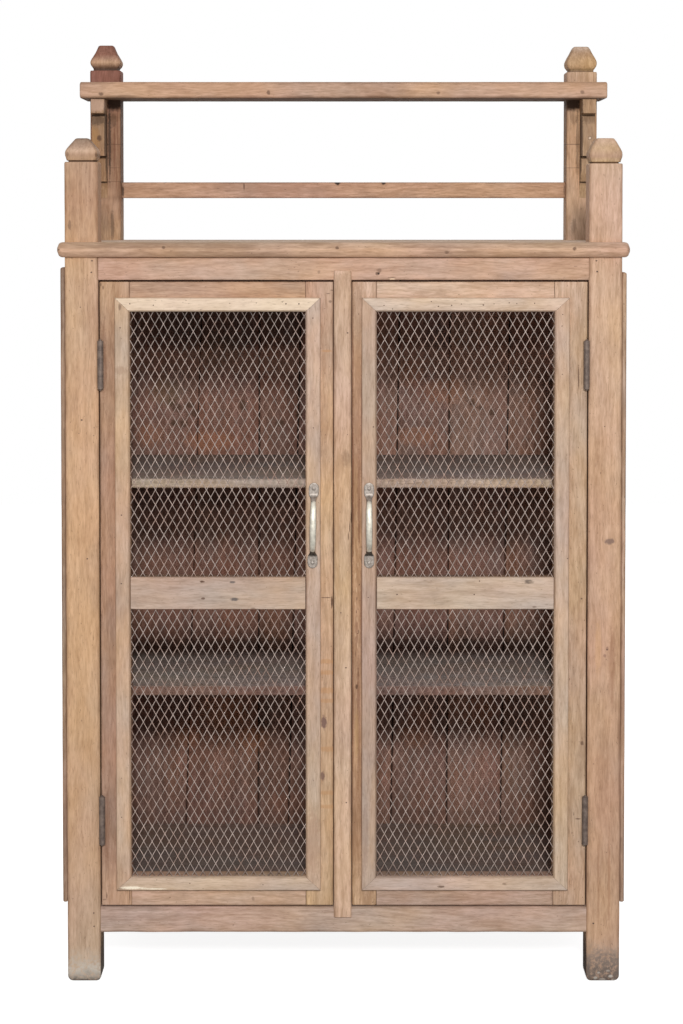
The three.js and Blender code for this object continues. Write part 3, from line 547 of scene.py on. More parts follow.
# Centre mullion. A proud strip between the doors, nailed over both rails, with its back cut away at the
# laps and the front of its top end shaved down.
LAP = 0.0155
LAP_SEAT = FRONT + 0.007
AMBER = (186, 138, 92)
MULLION = teak_finish("teak_mullion", 0.95, 0.15, 0.6, [
    (KNOT, [(0.0135, 0.768, 0.0009, 0.012, 0.8), (0.0118, 0.749, 0.0009, 0.012, 0.9),
        (0.0099, 0.733, 0.0009, 0.01, 0.9), (0.008, 0.719, 0.0008, 0.008, 0.8),
        (0.0045, 0.843, 0.009, 0.016, 0.3)]),
    (AMBER, [(-0.01, 0.7, 0.004, 0.12, 0.2), (0.0125, 0.2, 0.003, 0.07, 0.25)]),
], arches=0.25)
low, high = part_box("centre_mullion")
wide = (low.x, high.x)
lapped, full = (low.y, LAP_SEAT), (low.y, high.y)
stick("centre_mullion", "carcass", "z", MULLION, [
    (0.2, (204, 171, 148)), (0.6, (204, 171, 142)), (0.8, (206, 172, 138)), (0.95, (200, 167, 146))], [
    (low.z, wide, lapped), (low.z + LAP, wide, lapped), (low.z + LAP + 0.001, wide, full),
    (high.z - LAP, wide, full), (high.z - LAP + 0.001, wide, lapped),
    (high.z - 0.010, wide, (low.y + 0.0006, LAP_SEAT)), (high.z, wide, (FRONT - 0.0007, LAP_SEAT))],
    ease=0.0018, end=0.0006)

# Side panels. One thin board a side, nailed outside the posts, with the shelf cleats inside it.
PANEL = teak_finish("teak_side_panels", 1.25, 0.2, 0.7, arches=0.3)
PANEL_THICK = 0.0072
CLEAT = 0.018
CLEAT_DROP = 0.0004
CLEAT_SHORT = 0.006
PANEL_EDGES = {"left": (158, 131, 111), "right": (181, 151, 128)}
for side, sign in (("left", -1), ("right", 1)):
    node = side + "_side_panel"
    low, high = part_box(node)
    outer = low.x if sign < 0 else high.x
    across = sorted((outer, outer - sign * PANEL_THICK))
    stick(node, "carcass", "z", PANEL, (181, 143, 119), x=across, ease=0.0018, end=0.003,
          faces={"front": PANEL_EDGES[side]})
    inner = sorted((outer - sign * PANEL_THICK, outer - sign * (PANEL_THICK + CLEAT)))
    for shelf in ("upper_shelf", "lower_shelf"):
        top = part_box(shelf)[0].z - CLEAT_DROP
        run = (BETWEEN_SIDES[0] + CLEAT_SHORT, BETWEEN_SIDES[1] - CLEAT_SHORT)
        stick(node, "carcass", "y", PANEL, (160, 128, 108), x=inner, y=run, z=(top - CLEAT, top),
              name=f"{side}_{shelf}_cleat")

# Back boards. Unfinished reddish planks that stand upright behind the shelves, of unequal widths and
# with joints that lean. Some joints have opened, and a tongue in each joint keeps the light out.
RUSSET = (194, 130, 92)
# A colour of painted light, for bands on the back boards.
PAINTED_LIGHT = (203, 158, 138)
# On the back boards the DEEP_SHADE marks, the dark patches at the top left and the dark band near the floor
# are painted shadow, and the pale bands are painted light where the shadows under the top board and the upper
# shelf fade.
BACK = teak_finish("teak_back_boards", 1.6, 0.35, 0.9, [
    ((84, 62, 54), [(-0.3, 1.035, 0.1, 0.045, 0.22), (-0.16, 1.045, 0.07, 0.03, 0.15)]),
    (DEEP_SHADE, [(0.0, 0.463, 0.9, 0.018, 0.5), (-0.21, 0.72, 0.05, 0.035, 0.3),
        (0.13, 0.76, 0.07, 0.03, 0.25), (0.29, 0.56, 0.05, 0.04, 0.3), (-0.12, 0.24, 0.06, 0.05, 0.25),
        (0.0, 0.155, 0.9, 0.022, 0.27)]),
    ((96, 66, 54), [(0.0, 0.18, 0.9, 0.045, 0.2)]),
    (PAINTED_LIGHT, [(0.0, 0.973, 0.9, 0.028, 0.55), (0.0, 0.69, 0.9, 0.032, 0.4)]),
    ((114, 70, 50), [(0.0, 0.575, 0.9, 0.078, 0.34)]),
    (KNOT, [(-0.304, 0.899, 0.008, 0.009, 0.9), (-0.272, 0.8935, 0.009, 0.0065, 0.9),
        (-0.3, 0.8616, 0.008, 0.0065, 0.9), (-0.2826, 0.8616, 0.008, 0.009, 0.85),
        (-0.263, 0.8793, 0.01, 0.008, 0.85), (-0.179, 0.8934, 0.008, 0.012, 0.85),
        (-0.1125, 0.8616, 0.01, 0.008, 0.85), (-0.0794, 0.8775, 0.007, 0.011, 0.85)]),
    ((128, 112, 76), [(-0.316, 0.918, 0.035, 0.03, 0.25)]),
    ((112, 100, 72), [(-0.222, 0.993, 0.05, 0.04, 0.25)]),
    (KNOT, [(-0.295, 0.889, 0.012, 0.009, 0.75), (0.2277, 0.8975, 0.006, 0.007, 0.8),
        (0.242, 0.889, 0.007, 0.006, 0.7), (0.2625, 0.8805, 0.008, 0.007, 0.8)]),
    (DEEP_SHADE, [(-0.19, 1.045, 0.2, 0.06, 0.5)]),
    (RUSSET, [(-0.215, 0.345, 0.05, 0.035, 0.4), (-0.16, 0.3, 0.03, 0.03, 0.35),
        (-0.275, 0.31, 0.025, 0.03, 0.35), (0.18, 0.92, 0.045, 0.03, 0.28), (0.12, 0.95, 0.03, 0.03, 0.2),
        (0.23, 0.35, 0.05, 0.035, 0.3), (-0.2366, 0.83, 0.055, 0.02, 0.27),
        (-0.345, 0.84, 0.03, 0.025, 0.25), (0.13, 0.32, 0.035, 0.045, 0.3),
        (0.13, 0.838, 0.04, 0.02, 0.3)]),
], arches=0.22, soot=1.0)
# Each joint's x at the foot and at the top, and how far it has opened on either side.
JOINTS = [(-0.389, -0.389), (-0.283, -0.247), (-0.152, -0.148), (-0.100, -0.072),
          (0.083, 0.101), (0.183, 0.189), (0.278, 0.296), (0.389, 0.389)]
OPENED = [0.0, 0.0006, 0.0011, 0.001, 0.001, 0.001, 0.001, 0.0]
TONGUE_HALF, TONGUE_FRONT, TONGUE_REAR, TONGUE_SHORT = 0.003, 0.0045, 0.0035, 0.001
BOARD_COLOURS = [(147, 109, 95), (150, 108, 92), (140, 101, 86), (158, 117, 103), (148, 110, 97),
                 (164, 124, 109), (153, 114, 98)]
for i, wood in enumerate(BOARD_COLOURS):
    node = f"back_board_{i + 1}"
    low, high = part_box(node)
    left, right = JOINTS[i], JOINTS[i + 1]
    ends = [(z, (left[k] + OPENED[i], right[k] - OPENED[i + 1]), (low.y, high.y))
            for k, z in enumerate((low.z, high.z))]
    stick(node, "carcass", "z", BACK, wood, ends, ease=0.0014, end=0.001)
    if i < 6:
        thick = (low.y + TONGUE_FRONT, high.y - TONGUE_REAR)
        ends = [(z, (right[k] - TONGUE_HALF, right[k] + TONGUE_HALF), thick)
                for k, z in enumerate((low.z + TONGUE_SHORT, high.z - TONGUE_SHORT))]
        # The tongue is coloured dark, a painted shade in the open joint.
        stick(node, "carcass", "z", BACK, (64, 46, 38), ends, ease=0.0004, name=node + "_tongue")

# Floor board and shelves. Planks greyed with dust on top and notched round the posts. Neighbours stand
# CLEAR apart, and an outline steps in or out over a SLIVER of length.
BOARD = teak_finish("teak_shelves", 1.0, 0.45)
DUSTY = (191, 173, 163)
CLEAR = 0.0003
SLIVER = 0.0002
INNER = BETWEEN_POSTS[1] - CLEAR


def stepped(node, depth, *steps):
    """Stations of a board with this front to back range at its middle, and another beyond each step, a
    (distance from the middle, range) that comes at both sides."""
    low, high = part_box(node)
    right = []
    for place, beyond in steps:
        right += [(place, depth), (place + SLIVER, beyond)]
        depth = beyond
    left = [(-place, depth) for place, depth in reversed(right)]
    whole = [(low.x, depth), *left, *right, (high.x, depth)]
    return [(place, depth, (low.z, high.z)) for place, depth in whole]


def notched_board(node, wood, front, top=DUSTY, top_rear=(130, 117, 110)):
    """A board whose ends are narrower in depth than its middle, because its corners pass the posts."""
    low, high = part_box(node)
    shallow = (BETWEEN_SIDES[0] + CLEAR, min(high.y, BETWEEN_SIDES[1] - CLEAR))
    stations = stepped(node, (low.y, high.y), (INNER, shallow))
    stick(node, "carcass", "x", BOARD, wood, stations, ease=0.0012,
          faces={"top": top, "top_rear": top_rear, "front": front})


notched_board("floor_board", (150, 124, 110), (160, 137, 122), (140, 125, 118), (148, 125, 113))
# The two shelves' tops fade to a darker colour at the rear, a painted shade.
notched_board("upper_shelf", (168, 138, 120), (196, 172, 150))
notched_board("lower_shelf", (158, 124, 108), (131, 97, 83))

# Top board. One wide plank with a rounded nose on its front and ends, greyed on top. The posts stand
# through it, and between the rear posts it stops at the back boards.
TOP = teak_finish("teak_top_board", 1.1, 0.15, 0.6, [
    (KNOT, [(-0.0105, 1.1772, 0.0035, 0.003, 0.75), (0.365, 1.1755, 0.0035, 0.0035, 0.75),
        (-0.2845, 1.1775, 0.0038, 0.003, 0.7), (0.163, 1.1702, 0.0045, 0.003, 0.6)]),
], arches=0.2)
NOSE = 0.0086
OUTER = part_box("rear_right_post")[1].x + CLEAR
low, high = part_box("top_board")
cut_back = (low.y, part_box("back_board_1")[0].y - CLEAR)
# Its bottom face is coloured paler, which paints light on the lower half of the rounded nose.
stick("top_board", "carcass", "x", TOP, (202, 165, 139),
      stepped("top_board", cut_back, (OUTER, (low.y, high.y))),
      ease=(0.001, 0.001, NOSE, NOSE), wear=0.1, end=NOSE,
      faces={"top": (218, 193, 172), "bottom": (234, 198, 172)})

# Gallery. A shelf notched round the rear posts, carried on two stepped brackets, each cut from one board.
GALLERY = teak_finish("teak_gallery", 1.05, 0.25, 0.6, [
    (KNOT, [(-0.417, 1.4375, 0.005, 0.0035, 0.7), (-0.129, 1.4395, 0.0035, 0.0045, 0.7),
        (0.163, 1.4395, 0.004, 0.0032, 0.55), (0.41, 1.4405, 0.004, 0.0038, 0.6)]),
])
low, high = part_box("gallery_shelf")
full, notched = (low.y, high.y), (low.y, BETWEEN_SIDES[1] - CLEAR)
# Its underside is coloured dark, a painted shade.
stick("gallery_shelf", "carcass", "x", GALLERY, (198, 161, 136),
      stepped("gallery_shelf", full, (INNER, notched), (OUTER, full)),
      ease=0.0028, end=0.003, faces={"bottom": (120, 96, 80)})


def arc(start, finish, rise, steps):
    """Points from start to finish that bulge by rise to the left of the way they run."""
    (y0, z0), (y1, z1) = start, finish
    length = math.hypot(y1 - y0, z1 - z0)
    side = ((z1 - z0) / length, -(y1 - y0) / length)
    shares = [i / steps for i in range(steps + 1)]
    return [(y0 + (y1 - y0) * t + side[0] * 4 * rise * t * (1 - t),
             z0 + (z1 - z0) * t + side[1] * 4 * rise * t * (1 - t)) for t in shares]


# The DEEP_SHADE marks on the brackets are painted shade: under the arm, under each step and in the gap along
# the inner side.
BRACKET = teak_finish("teak_brackets", 1.3, 0.2, 0.7, [
    ((206, 172, 152), [(-0.43, 1.419, 0.03, 0.014, 0.5)]),
    ((178, 130, 74), [(-0.432, 1.362, 0.013, 0.022, 0.4)]),
    (DEEP_SHADE, [(-0.43, 1.394, 0.03, 0.011, 0.6), (0.43, 1.395, 0.03, 0.009, 0.35)]),
    (KNOT, [(-0.4224, 1.3627, 0.0045, 0.006, 0.9), (0.4262, 1.3627, 0.0042, 0.0042, 0.7)]),
    (DEEP_SHADE, [(-0.4125, 1.35, 0.0022, 0.07, 0.7), (0.4125, 1.35, 0.0022, 0.07, 0.7),
        (-0.43, 1.402, 0.03, 0.0028, 0.8), (-0.43, 1.3305, 0.03, 0.0022, 0.8),
        (-0.43, 1.2865, 0.03, 0.002, 0.8), (0.43, 1.402, 0.03, 0.0018, 0.7),
        (0.43, 1.3305, 0.03, 0.0022, 0.8), (0.43, 1.2865, 0.03, 0.002, 0.8)]),
    ((222, 198, 172), [(0.4262, 1.3627, 0.0026, 0.0026, 0.9)]),
])
ARM = 0.0537
SAWN_EDGE = 0.0011


def bracket(side, offset, wood):
    """A bracket sawn to an outline of (behind the front, height): an arm and three scooped steps below it.
    offset is where in the grain it was cut."""
    node = side + "_gallery_bracket"
    low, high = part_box(node)
    rear = high.y - FRONT
    outline = [(rear, high.z), (rear - ARM, high.z), (rear - ARM, 1.405)]
    outline += arc((0.345, 1.405), (0.347, 1.332), 0.003, 8) + arc((0.364, 1.332), (0.368, 1.288), 0.0025, 6)
    outline += arc((0.374, 1.288), (rear, 1.2595), -0.0015, 5)
    shape = bmesh.new()
    face = shape.faces.new([shape.verts.new((low.x, FRONT + y, z)) for y, z in outline])
    moved = bmesh.ops.extrude_face_region(shape, geom=[face])["geom"]
    moved = [g for g in moved if isinstance(g, bmesh.types.BMVert)]
    bmesh.ops.translate(shape, vec=(high.x - low.x, 0, 0), verts=moved)
    bmesh.ops.recalc_face_normals(shape, faces=shape.faces)
    sharp = [e for e in shape.edges if e.calc_face_angle(0) > 0.6]
    bmesh.ops.bevel(shape, geom=sharp, offset=SAWN_EDGE, segments=2, profile=0.5, affect="EDGES",
                    clamp_overlap=True)
    bmesh.ops.triangulate(shape, faces=[f for f in shape.faces if len(f.verts) > 4])
    shape.verts.index_update()
    verts = [tuple(v.co) for v in shape.verts]
    faces = [tuple(v.index for v in f.verts) for f in shape.faces]
    shape.free()
    grain = [(x + offset, y + offset, z + offset) for x, y, z in verts]
    edge, colours = [0.0] * len(verts), [paint(wood)] * len(verts)
    piece = finished(node + "_wood", node, "carcass", verts, faces, grain, edge, BRACKET, colours)
    piece.data.polygons.foreach_set("use_smooth", [False] * len(faces))


bracket("left", 3.1, (164, 130, 100))
bracket("right", 7.7, (176, 143, 108))

# Door frames. Stiles run the full height, with the rails tenoned between them, and each mid rail
# stands behind the mesh. The left lock stile is yellower, and the right one is rough, with red stains.
RED_STAIN = (120, 79, 57)
PURPLE_STAIN = (104, 76, 74)
PALE_FLECK = (206, 172, 138)
GOLDEN = (198, 160, 112)
STRIPPED = teak_finish("teak_door_frames", 1.1, 0.25, 0.7, [
    (AMBER, [(-0.0264, 1.0133, 0.0105, 0.0025, 0.55), (-0.0264, 0.5173, 0.02, 0.0045, 0.5),
        (-0.0264, 0.4997, 0.02, 0.0045, 0.5), (-0.0264, 0.4709, 0.02, 0.006, 0.5),
        (-0.0248, 0.4541, 0.02, 0.004, 0.45), (-0.0248, 0.3765, 0.02, 0.005, 0.45),
        (-0.0248, 0.3061, 0.02, 0.0045, 0.45), (-0.0248, 0.2837, 0.02, 0.004, 0.45)]),
    (RED_STAIN, [(-0.3811, 0.9973, 0.006, 0.075, 0.35), (-0.3792, 0.2517, 0.007, 0.07, 0.35)]),
    (KNOT, [(-0.0187, 0.6125, 0.0018, 0.012, 0.9), (-0.0272, 0.6197, 0.011, 0.0009, 0.8),
        (-0.0211, 1.0917, 0.003, 0.0025, 0.55), (0.3731, 0.972, 0.0016, 0.02, 0.7),
        (0.3811, 0.3859, 0.0035, 0.004, 0.7), (0.3747, 0.264, 0.005, 0.0014, 0.7),
        (0.3794, 0.6181, 0.0018, 0.0018, 0.8), (-0.3848, 1.1189, 0.0012, 0.004, 0.7),
        (-0.3813, 1.1141, 0.0012, 0.0035, 0.7), (-0.0248, 1.1045, 0.0035, 0.0012, 0.6),
        (-0.0184, 1.1098, 0.003, 0.0012, 0.6), (-0.34, 1.1125, 0.0007, 0.014, 0.5),
        (-0.057, 1.1125, 0.0007, 0.014, 0.35), (0.3344, 1.1125, 0.0007, 0.014, 0.5),
        (-0.3424, 0.1397, 0.0008, 0.013, 0.7), (0.3326, 0.1381, 0.0007, 0.012, 0.4),
        (-0.3792, 0.1397, 0.0014, 0.006, 0.6), (-0.3832, 0.1333, 0.003, 0.0014, 0.5),
        (0.0504, 0.1381, 0.0007, 0.012, 0.3), (-0.1448, 0.1349, 0.0028, 0.0042, 0.4)]),
    (PURPLE_STAIN, [(-0.0312, 0.4189, 0.0055, 0.0125, 0.8), (-0.0336, 0.3333, 0.004, 0.009, 0.7)]),
])
ROUGH_STILE = teak_finish("teak_right_lock_stile", 1.5, 0.15, 1.0, [
    (RED_STAIN, [(0.0152, 1.02, 0.0012, 0.09, 0.6), (0.0149, 0.8, 0.0016, 0.16, 0.75),
        (0.0149, 0.45, 0.0014, 0.13, 0.6), (0.0283, 0.9, 0.0012, 0.12, 0.5),
        (0.0283, 0.58, 0.0013, 0.12, 0.65), (0.0283, 0.3, 0.0012, 0.09, 0.5),
        (0.0245, 0.78, 0.0028, 0.09, 0.55), (0.0235, 0.42, 0.003, 0.13, 0.45),
        (0.0205, 0.565, 0.003, 0.03, 0.4)]),
    (PALE_FLECK, [(0.019, 0.655, 0.0016, 0.006, 0.8), (0.0205, 0.632, 0.0014, 0.005, 0.7),
        (0.0185, 0.61, 0.0012, 0.004, 0.8), (0.0215, 0.585, 0.0012, 0.006, 0.7),
        (0.0192, 0.56, 0.0015, 0.004, 0.6), (0.0225, 0.542, 0.001, 0.005, 0.6),
        (0.02, 0.748, 0.001, 0.007, 0.6), (0.0178, 0.69, 0.001, 0.008, 0.6),
        (0.023, 0.672, 0.001, 0.006, 0.5)]),
    (KNOT, [(0.0213, 0.618, 0.0008, 0.004, 0.8), (0.0203, 0.597, 0.0009, 0.003, 0.7),
        (0.024, 0.565, 0.0008, 0.004, 0.7), (0.0211, 0.4773, 0.0026, 0.0048, 0.85),
        (0.019, 0.53, 0.0008, 0.006, 0.6), (0.0235, 0.5, 0.0008, 0.01, 0.5)]),
    (GOLDEN, [(0.021, 0.4, 0.004, 0.05, 0.35)]),
    ((148, 118, 96), [(0.0225, 1.075, 0.012, 0.055, 0.45)]),
    ((150, 108, 72), [(0.0215, 0.24, 0.008, 0.09, 0.28)]),
])
DOOR_COLOURS = {
    "left_door_hinge_stile": [
        (0.16, (190, 156, 128)), (0.2, (174, 138, 112)), (1.06, (174, 138, 112)), (1.1, (188, 153, 128))],
    "left_door_lock_stile": [
        (0.3, (203, 169, 134)), (0.8, (205, 170, 136)), (1.05, (193, 157, 130)), (1.1, (192, 157, 130))],
    "left_door_top_rail": (188, 152, 126), "left_door_mid_rail": (150, 120, 100),
    "left_door_bottom_rail": (200, 167, 142),
    "right_door_lock_stile": [
        (0.15, (196, 164, 134)), (0.22, (186, 150, 120)), (0.8, (184, 147, 115)), (1.02, (190, 154, 127)),
        (1.06, (208, 174, 149))],
    "right_door_hinge_stile": [(1.05, (191, 159, 133)), (1.09, (204, 172, 147))],
    "right_door_top_rail": (208, 175, 150), "right_door_mid_rail": (150, 120, 100),
    "right_door_bottom_rail": (188, 157, 140),
}
for side in ("left", "right"):
    body = side + "_door"
    inner = [corner.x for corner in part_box(body + "_mid_bar")]
    for node in (body + "_hinge_stile", body + "_lock_stile"):
        finish = ROUGH_STILE if node == "right_door_lock_stile" else STRIPPED
        stick(node, body, "z", finish, DOOR_COLOURS[node], ease=0.0011)
    for node in (body + "_top_rail", body + "_mid_rail", body + "_bottom_rail"):
        stick(node, body, "x", STRIPPED, DOOR_COLOURS[node], x=inner, ease=0.0008, end=0.0003)

# Beads. Mitred strips round each opening and a flat bar across its middle, nailed over the mesh.
# The left door's top bead is a fresh pale strip.
BEAD = teak_finish("teak_beads", 0.8, 0.35, 0.5, [
    ((168, 130, 108), [(-0.0488, 0.225, 0.014, 0.065, 0.42)]),
    ((140, 118, 108), [(0.0345, 0.235, 0.006, 0.07, 0.4)]),
    ((178, 140, 108), [(0.046, 0.25, 0.006, 0.08, 0.3)]),
    (KNOT, [(-0.2248, 0.6465, 0.0045, 0.0022, 0.95), (-0.2232, 0.6198, 0.004, 0.0022, 0.8),
        (-0.1438, 0.6037, 0.004, 0.0018, 0.5), (0.1554, 0.1566, 0.006, 0.0022, 0.75),
        (0.2568, 0.1611, 0.004, 0.0016, 0.5), (0.3032, 0.6064, 0.004, 0.002, 0.5),
        (-0.3544, 1.0829, 0.003, 0.006, 0.5)]),
    ((98, 90, 86), [(-0.1768, 0.6458, 0.0055, 0.002, 0.8), (-0.1736, 0.6184, 0.008, 0.0034, 0.9)]),
    ((104, 90, 80), [(0.2944, 0.6462, 0.0085, 0.0042, 0.85)]),
    ((168, 146, 126), [(0.2975, 0.6462, 0.004, 0.0018, 0.7)]),
    (RED_STAIN, [(-0.3544, 0.9829, 0.014, 0.007, 0.25)]),
    ((250, 236, 212), [(-0.338, 0.1548, 0.022, 0.0026, 1.0)]),
    ((246, 232, 208), [(-0.303, 0.1532, 0.024, 0.0013, 0.85)]),
])
FRESH = teak_finish("fresh_pale_bead", 0.55, 0.05, 0.7)
BEAD_FRONT, BEAD_SEAT, NET_SEAT = FRONT - 0.0083, FRONT - CLEAR, FRONT - 0.0022
# Its section, from the step in its back where the mesh lies, round the inner edge and the front to the
# back of the outer edge, as (share of its width, y), and which of those points lie on a worn edge.
PROFILE = [(0.52, BEAD_SEAT), (0.52, NET_SEAT), (0.0, NET_SEAT), (0.0, BEAD_FRONT + 0.0034),
           (0.03, BEAD_FRONT + 0.0022), (0.10, BEAD_FRONT + 0.0003), (0.15, BEAD_FRONT),
           (0.92, BEAD_FRONT), (0.965, BEAD_FRONT + 0.0003), (0.99, BEAD_FRONT + 0.0011),
           (1.0, BEAD_FRONT + 0.002), (1.0, BEAD_SEAT)]
PROFILE_EDGE = [0, 0, 0, 1, 1, 1, 0, 0, 1, 1, 1, 0]


def turn_outward(mesh):
    """Makes every face look away from the inside."""
    shape = bmesh.new()
    shape.from_mesh(mesh)
    bmesh.ops.recalc_face_normals(shape, faces=shape.faces)
    shape.to_mesh(mesh)
    shape.free()


def bead(node, body, inner, outer, finish, wood):
    """A bead between the two ends of its inner line and its outer line, as (x, z) pairs, so its ends are
    mitred."""
    steps = 60 if abs(inner[1][1] - inner[0][1]) > 0.5 else 24
    upright = abs(inner[1][0] - inner[0][0]) < 0.01
    seed = sum(ord(c) * (i + 2) for i, c in enumerate(node)) % 613 / 23.0
    verts, grain = [], []
    for s in range(steps + 1):
        t = s / steps
        for k, (share, y) in enumerate(PROFILE):
            wear = 0.0005 * noise(Vector((t * 40.0, k * 0.4, seed))) * PROFILE_EDGE[k]
            a, b = ([line[0][i] + (line[1][i] - line[0][i]) * t for i in (0, 1)] for line in (inner, outer))
            x, z = (a[i] + (b[i] - a[i]) * share for i in (0, 1))
            verts.append((x, y + max(wear, 0.0), z))
            grain.append((x + seed, y + seed, z + seed) if upright else (z + seed, y + seed, x + seed))
    edge = [float(worn) for worn in PROFILE_EDGE] * (steps + 1)
    faces = tube(steps + 1, len(PROFILE))
    colours = [paint(wood)] * len(verts)
    piece = finished(node + "_wood", node, body, verts, faces, grain, edge, finish, colours)
    turn_outward(piece.data)
    piece.data.set_sharp_from_angle(angle=math.radians(40))


MITRE_GAP = 0.0002
BAR_COLOURS = {"left": (189, 162, 141), "right": (197, 173, 154)}
BEAD_COLOURS = {
    "left_door_bottom": (200, 176, 156), "left_door_top": (219, 198, 176),
    "left_door_hinge_side": (197, 164, 137), "left_door_lock_side": (197, 168, 144),
    "right_door_bottom": (201, 176, 158), "right_door_top": (207, 181, 161),
    "right_door_hinge_side": (198, 168, 143), "right_door_lock_side": (187, 158, 138),
}
for side in ("left", "right"):
    body = side + "_door"
    bar_low, bar_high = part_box(body + "_mid_bar")
    stick(body + "_mid_bar", body, "x", BEAD, BAR_COLOURS[side], ease=0.001)
    bottom_low, bottom_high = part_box(body + "_bottom_bead")
    top_low, top_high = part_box(body + "_top_bead")
    opening = ((bar_low.x - CLEAR, bar_high.x + CLEAR), (bottom_high.z, top_low.z))
    rim = ((bottom_low.x, top_high.x), (bottom_low.z, top_high.z))
    hinge_end, lock_end = (0, 1) if side == "left" else (1, 0)
    runs = {"bottom": ((0, 0), (1, 0)), "top": ((0, 1), (1, 1)),
            "hinge_side": ((hinge_end, 0), (hinge_end, 1)), "lock_side": ((lock_end, 0), (lock_end, 1))}
    for part, (start, stop) in runs.items():
        node = f"{body}_{part}"
        finish = FRESH if node == "left_door_top" else BEAD
        gap = (0, MITRE_GAP) if "side" in part else (MITRE_GAP, 0)
        inner, outer = ([(xs[start[0]] + gap[0], zs[start[1]] + gap[1]),
                         (xs[stop[0]] - gap[0], zs[stop[1]] - gap[1])] for xs, zs in (opening, rim))
        bead(node + "_bead", body, inner, outer, finish, BEAD_COLOURS[node])


# Mesh. Diamond wire mesh: two sets of slanting wires that cross at every point of the diamonds,
# dull galvanised with a little rust, held behind the beads.
DIAMOND_WIDE = 0.01353
DIAMOND_HIGH = 0.0240
WIRE_RADIUS = 0.00069
# Each wire goes over and under the others by WEAVE, and its bends wander from the pattern by up to WANDER.
WEAVE = 0.00042
WANDER = 0.0006


def galvanised_wire():
    """Dull zinc with rust in patches. Tarnish comes and goes along each wire. The wires next to the top and
    bottom beads are painted in shade, and so is the upper part of the left door's mesh."""
    material, tree = new_material("galvanised_wire")
    place = add(tree, "TexCoord").outputs["Object"]
    patches = add(tree, "TexNoise", place, None, 38.0, 3.0, 0.6)
    fine = add(tree, "TexNoise", place, None, 900.0, 2.0, 0.5)
    zinc = mixed(tree, fine, srgb(202, 185, 175), srgb(149, 131, 123))
    coat = mixed(tree, ramp(tree, patches, 0.45, 0.72, 0.0, 0.75), zinc, srgb(160, 122, 104))
    tarnish = add(tree, "TexNoise", place, None, 85.0, 3.0, 0.65)
    worn = ramp(tree, tarnish, 0.36, 0.64, 0.64, 1.18)
    # Painted shade on the upper part of the left door's mesh, and below on the wires next to the beads.
    upper_left_shade = add(tree, "Group", place, tarnish, (-0.20, 0.0, 1.05), (0.16, 1.0, 0.065), node_tree=SOFT_MARK)
    tarnish_and_shade = maths(tree, "MULTIPLY_ADD", upper_left_shade, -0.26, worn)
    height = add(tree, "SeparateXYZ", place).outputs["Z"]
    under_bead = ramp(tree, height, 1.062, 1.075, 1.0, 0.72)
    on_bead = ramp(tree, height, 0.178, 0.202, 0.72, 1.0)
    shade = maths(tree, "MULTIPLY", tarnish_and_shade, maths(tree, "MULTIPLY", under_bead, on_bead))
    tarnished_and_shaded = add(tree, "VectorMath", coat, None, None, shade, operation="SCALE")
    surfaced(tree, tarnished_and_shaded, maths(tree, "MULTIPLY_ADD", patches, 0.3, 0.4), metallic=0.2)
    return material


WIRE = galvanised_wire()


def wire_mesh(side):
    node = side + "_door_mesh"
    low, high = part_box(node)
    plane = (low.y + high.y) / 2
    curve = bpy.data.curves.new(node + "_wires", "CURVE")
    curve.dimensions = "3D"
    curve.bevel_depth = WIRE_RADIUS
    curve.bevel_resolution = 1
    slope = DIAMOND_HIGH / DIAMOND_WIDE
    wide, tall = high.x - low.x, high.z - low.z
    reach = tall / slope
    count = int((wide + reach) / DIAMOND_WIDE) + 2
    steps = int(tall / (DIAMOND_HIGH / 2)) + 1
    for lean in (1, -1):
        for k in range(count):
            offset = k * DIAMOND_WIDE - (reach if lean > 0 else 0.0)
            points = []
            for s in range(steps + 1):
                up = min(s * DIAMOND_HIGH / 2, tall)
                x = low.x + offset + lean * up / slope
                if low.x + 0.001 < x < high.x - 0.001:
                    seed = Vector((x * 70.0, up * 70.0, lean + (5.0 if side == "left" else 9.0)))
                    weave = WEAVE * (1 if (s + (0 if lean > 0 else 1)) % 2 else -1)
                    z = low.z + up + WANDER / 1.5 * noise(seed * 1.3)
                    points.append((x + WANDER * noise(seed), plane + weave, z))
            if len(points) > 1:
                spline = curve.splines.new("POLY")
                spline.points.add(len(points) - 1)
                spline.points.foreach_set("co", [v for p in points for v in (*p, 1.0)])
    curve.materials.append(WIRE)
    wires = bpy.data.objects.new(node + "_wires", curve)
    bpy.context.collection.objects.link(wires)
    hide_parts(node)
    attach(wires, side + "_door")


wire_mesh("left")
wire_mesh("right")


# Hinges. Cast butt hinges, dark with age and rubbed paler in patches. Their leaves keep the CAD shape,
# and only their screws are added.
def aged_metal(name, dark, rubbed, metallic, roughness, blotches=170.0):
    material, tree = new_material(name)
    place = add(tree, "TexCoord").outputs["Object"]
    blotch = add(tree, "TexNoise", place, None, blotches, 4.0, 0.6)
    metal = mixed(tree, ramp(tree, blotch, 0.38, 0.62), srgb(*dark), srgb(*rubbed))
    matt = maths(tree, "MULTIPLY_ADD", blotch, 0.35, roughness - 0.17)
    bump = add(tree, "Bump", 0.3, 0.0002)
    feed(tree, bump.inputs["Height"], add(tree, "TexNoise", place, None, 1400.0, 2.0, 0.5))
    surfaced(tree, metal, matt, bump, metallic)
    return material


HINGE = aged_metal("aged_hinge_iron", (94, 80, 73), (124, 108, 98), 0.4, 0.55, 120.0)
for side in ("left", "right"):
    for height in ("lower", "upper"):
        for leaf in ("post", "door"):
            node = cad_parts[f"{side}_{height}_hinge_{leaf}_leaf"]
            node.data.materials.clear()
            node.data.materials.append(HINGE)
SLOT = aged_metal("screw_slots", (34, 29, 26), (52, 45, 40), 0.3, 0.6)
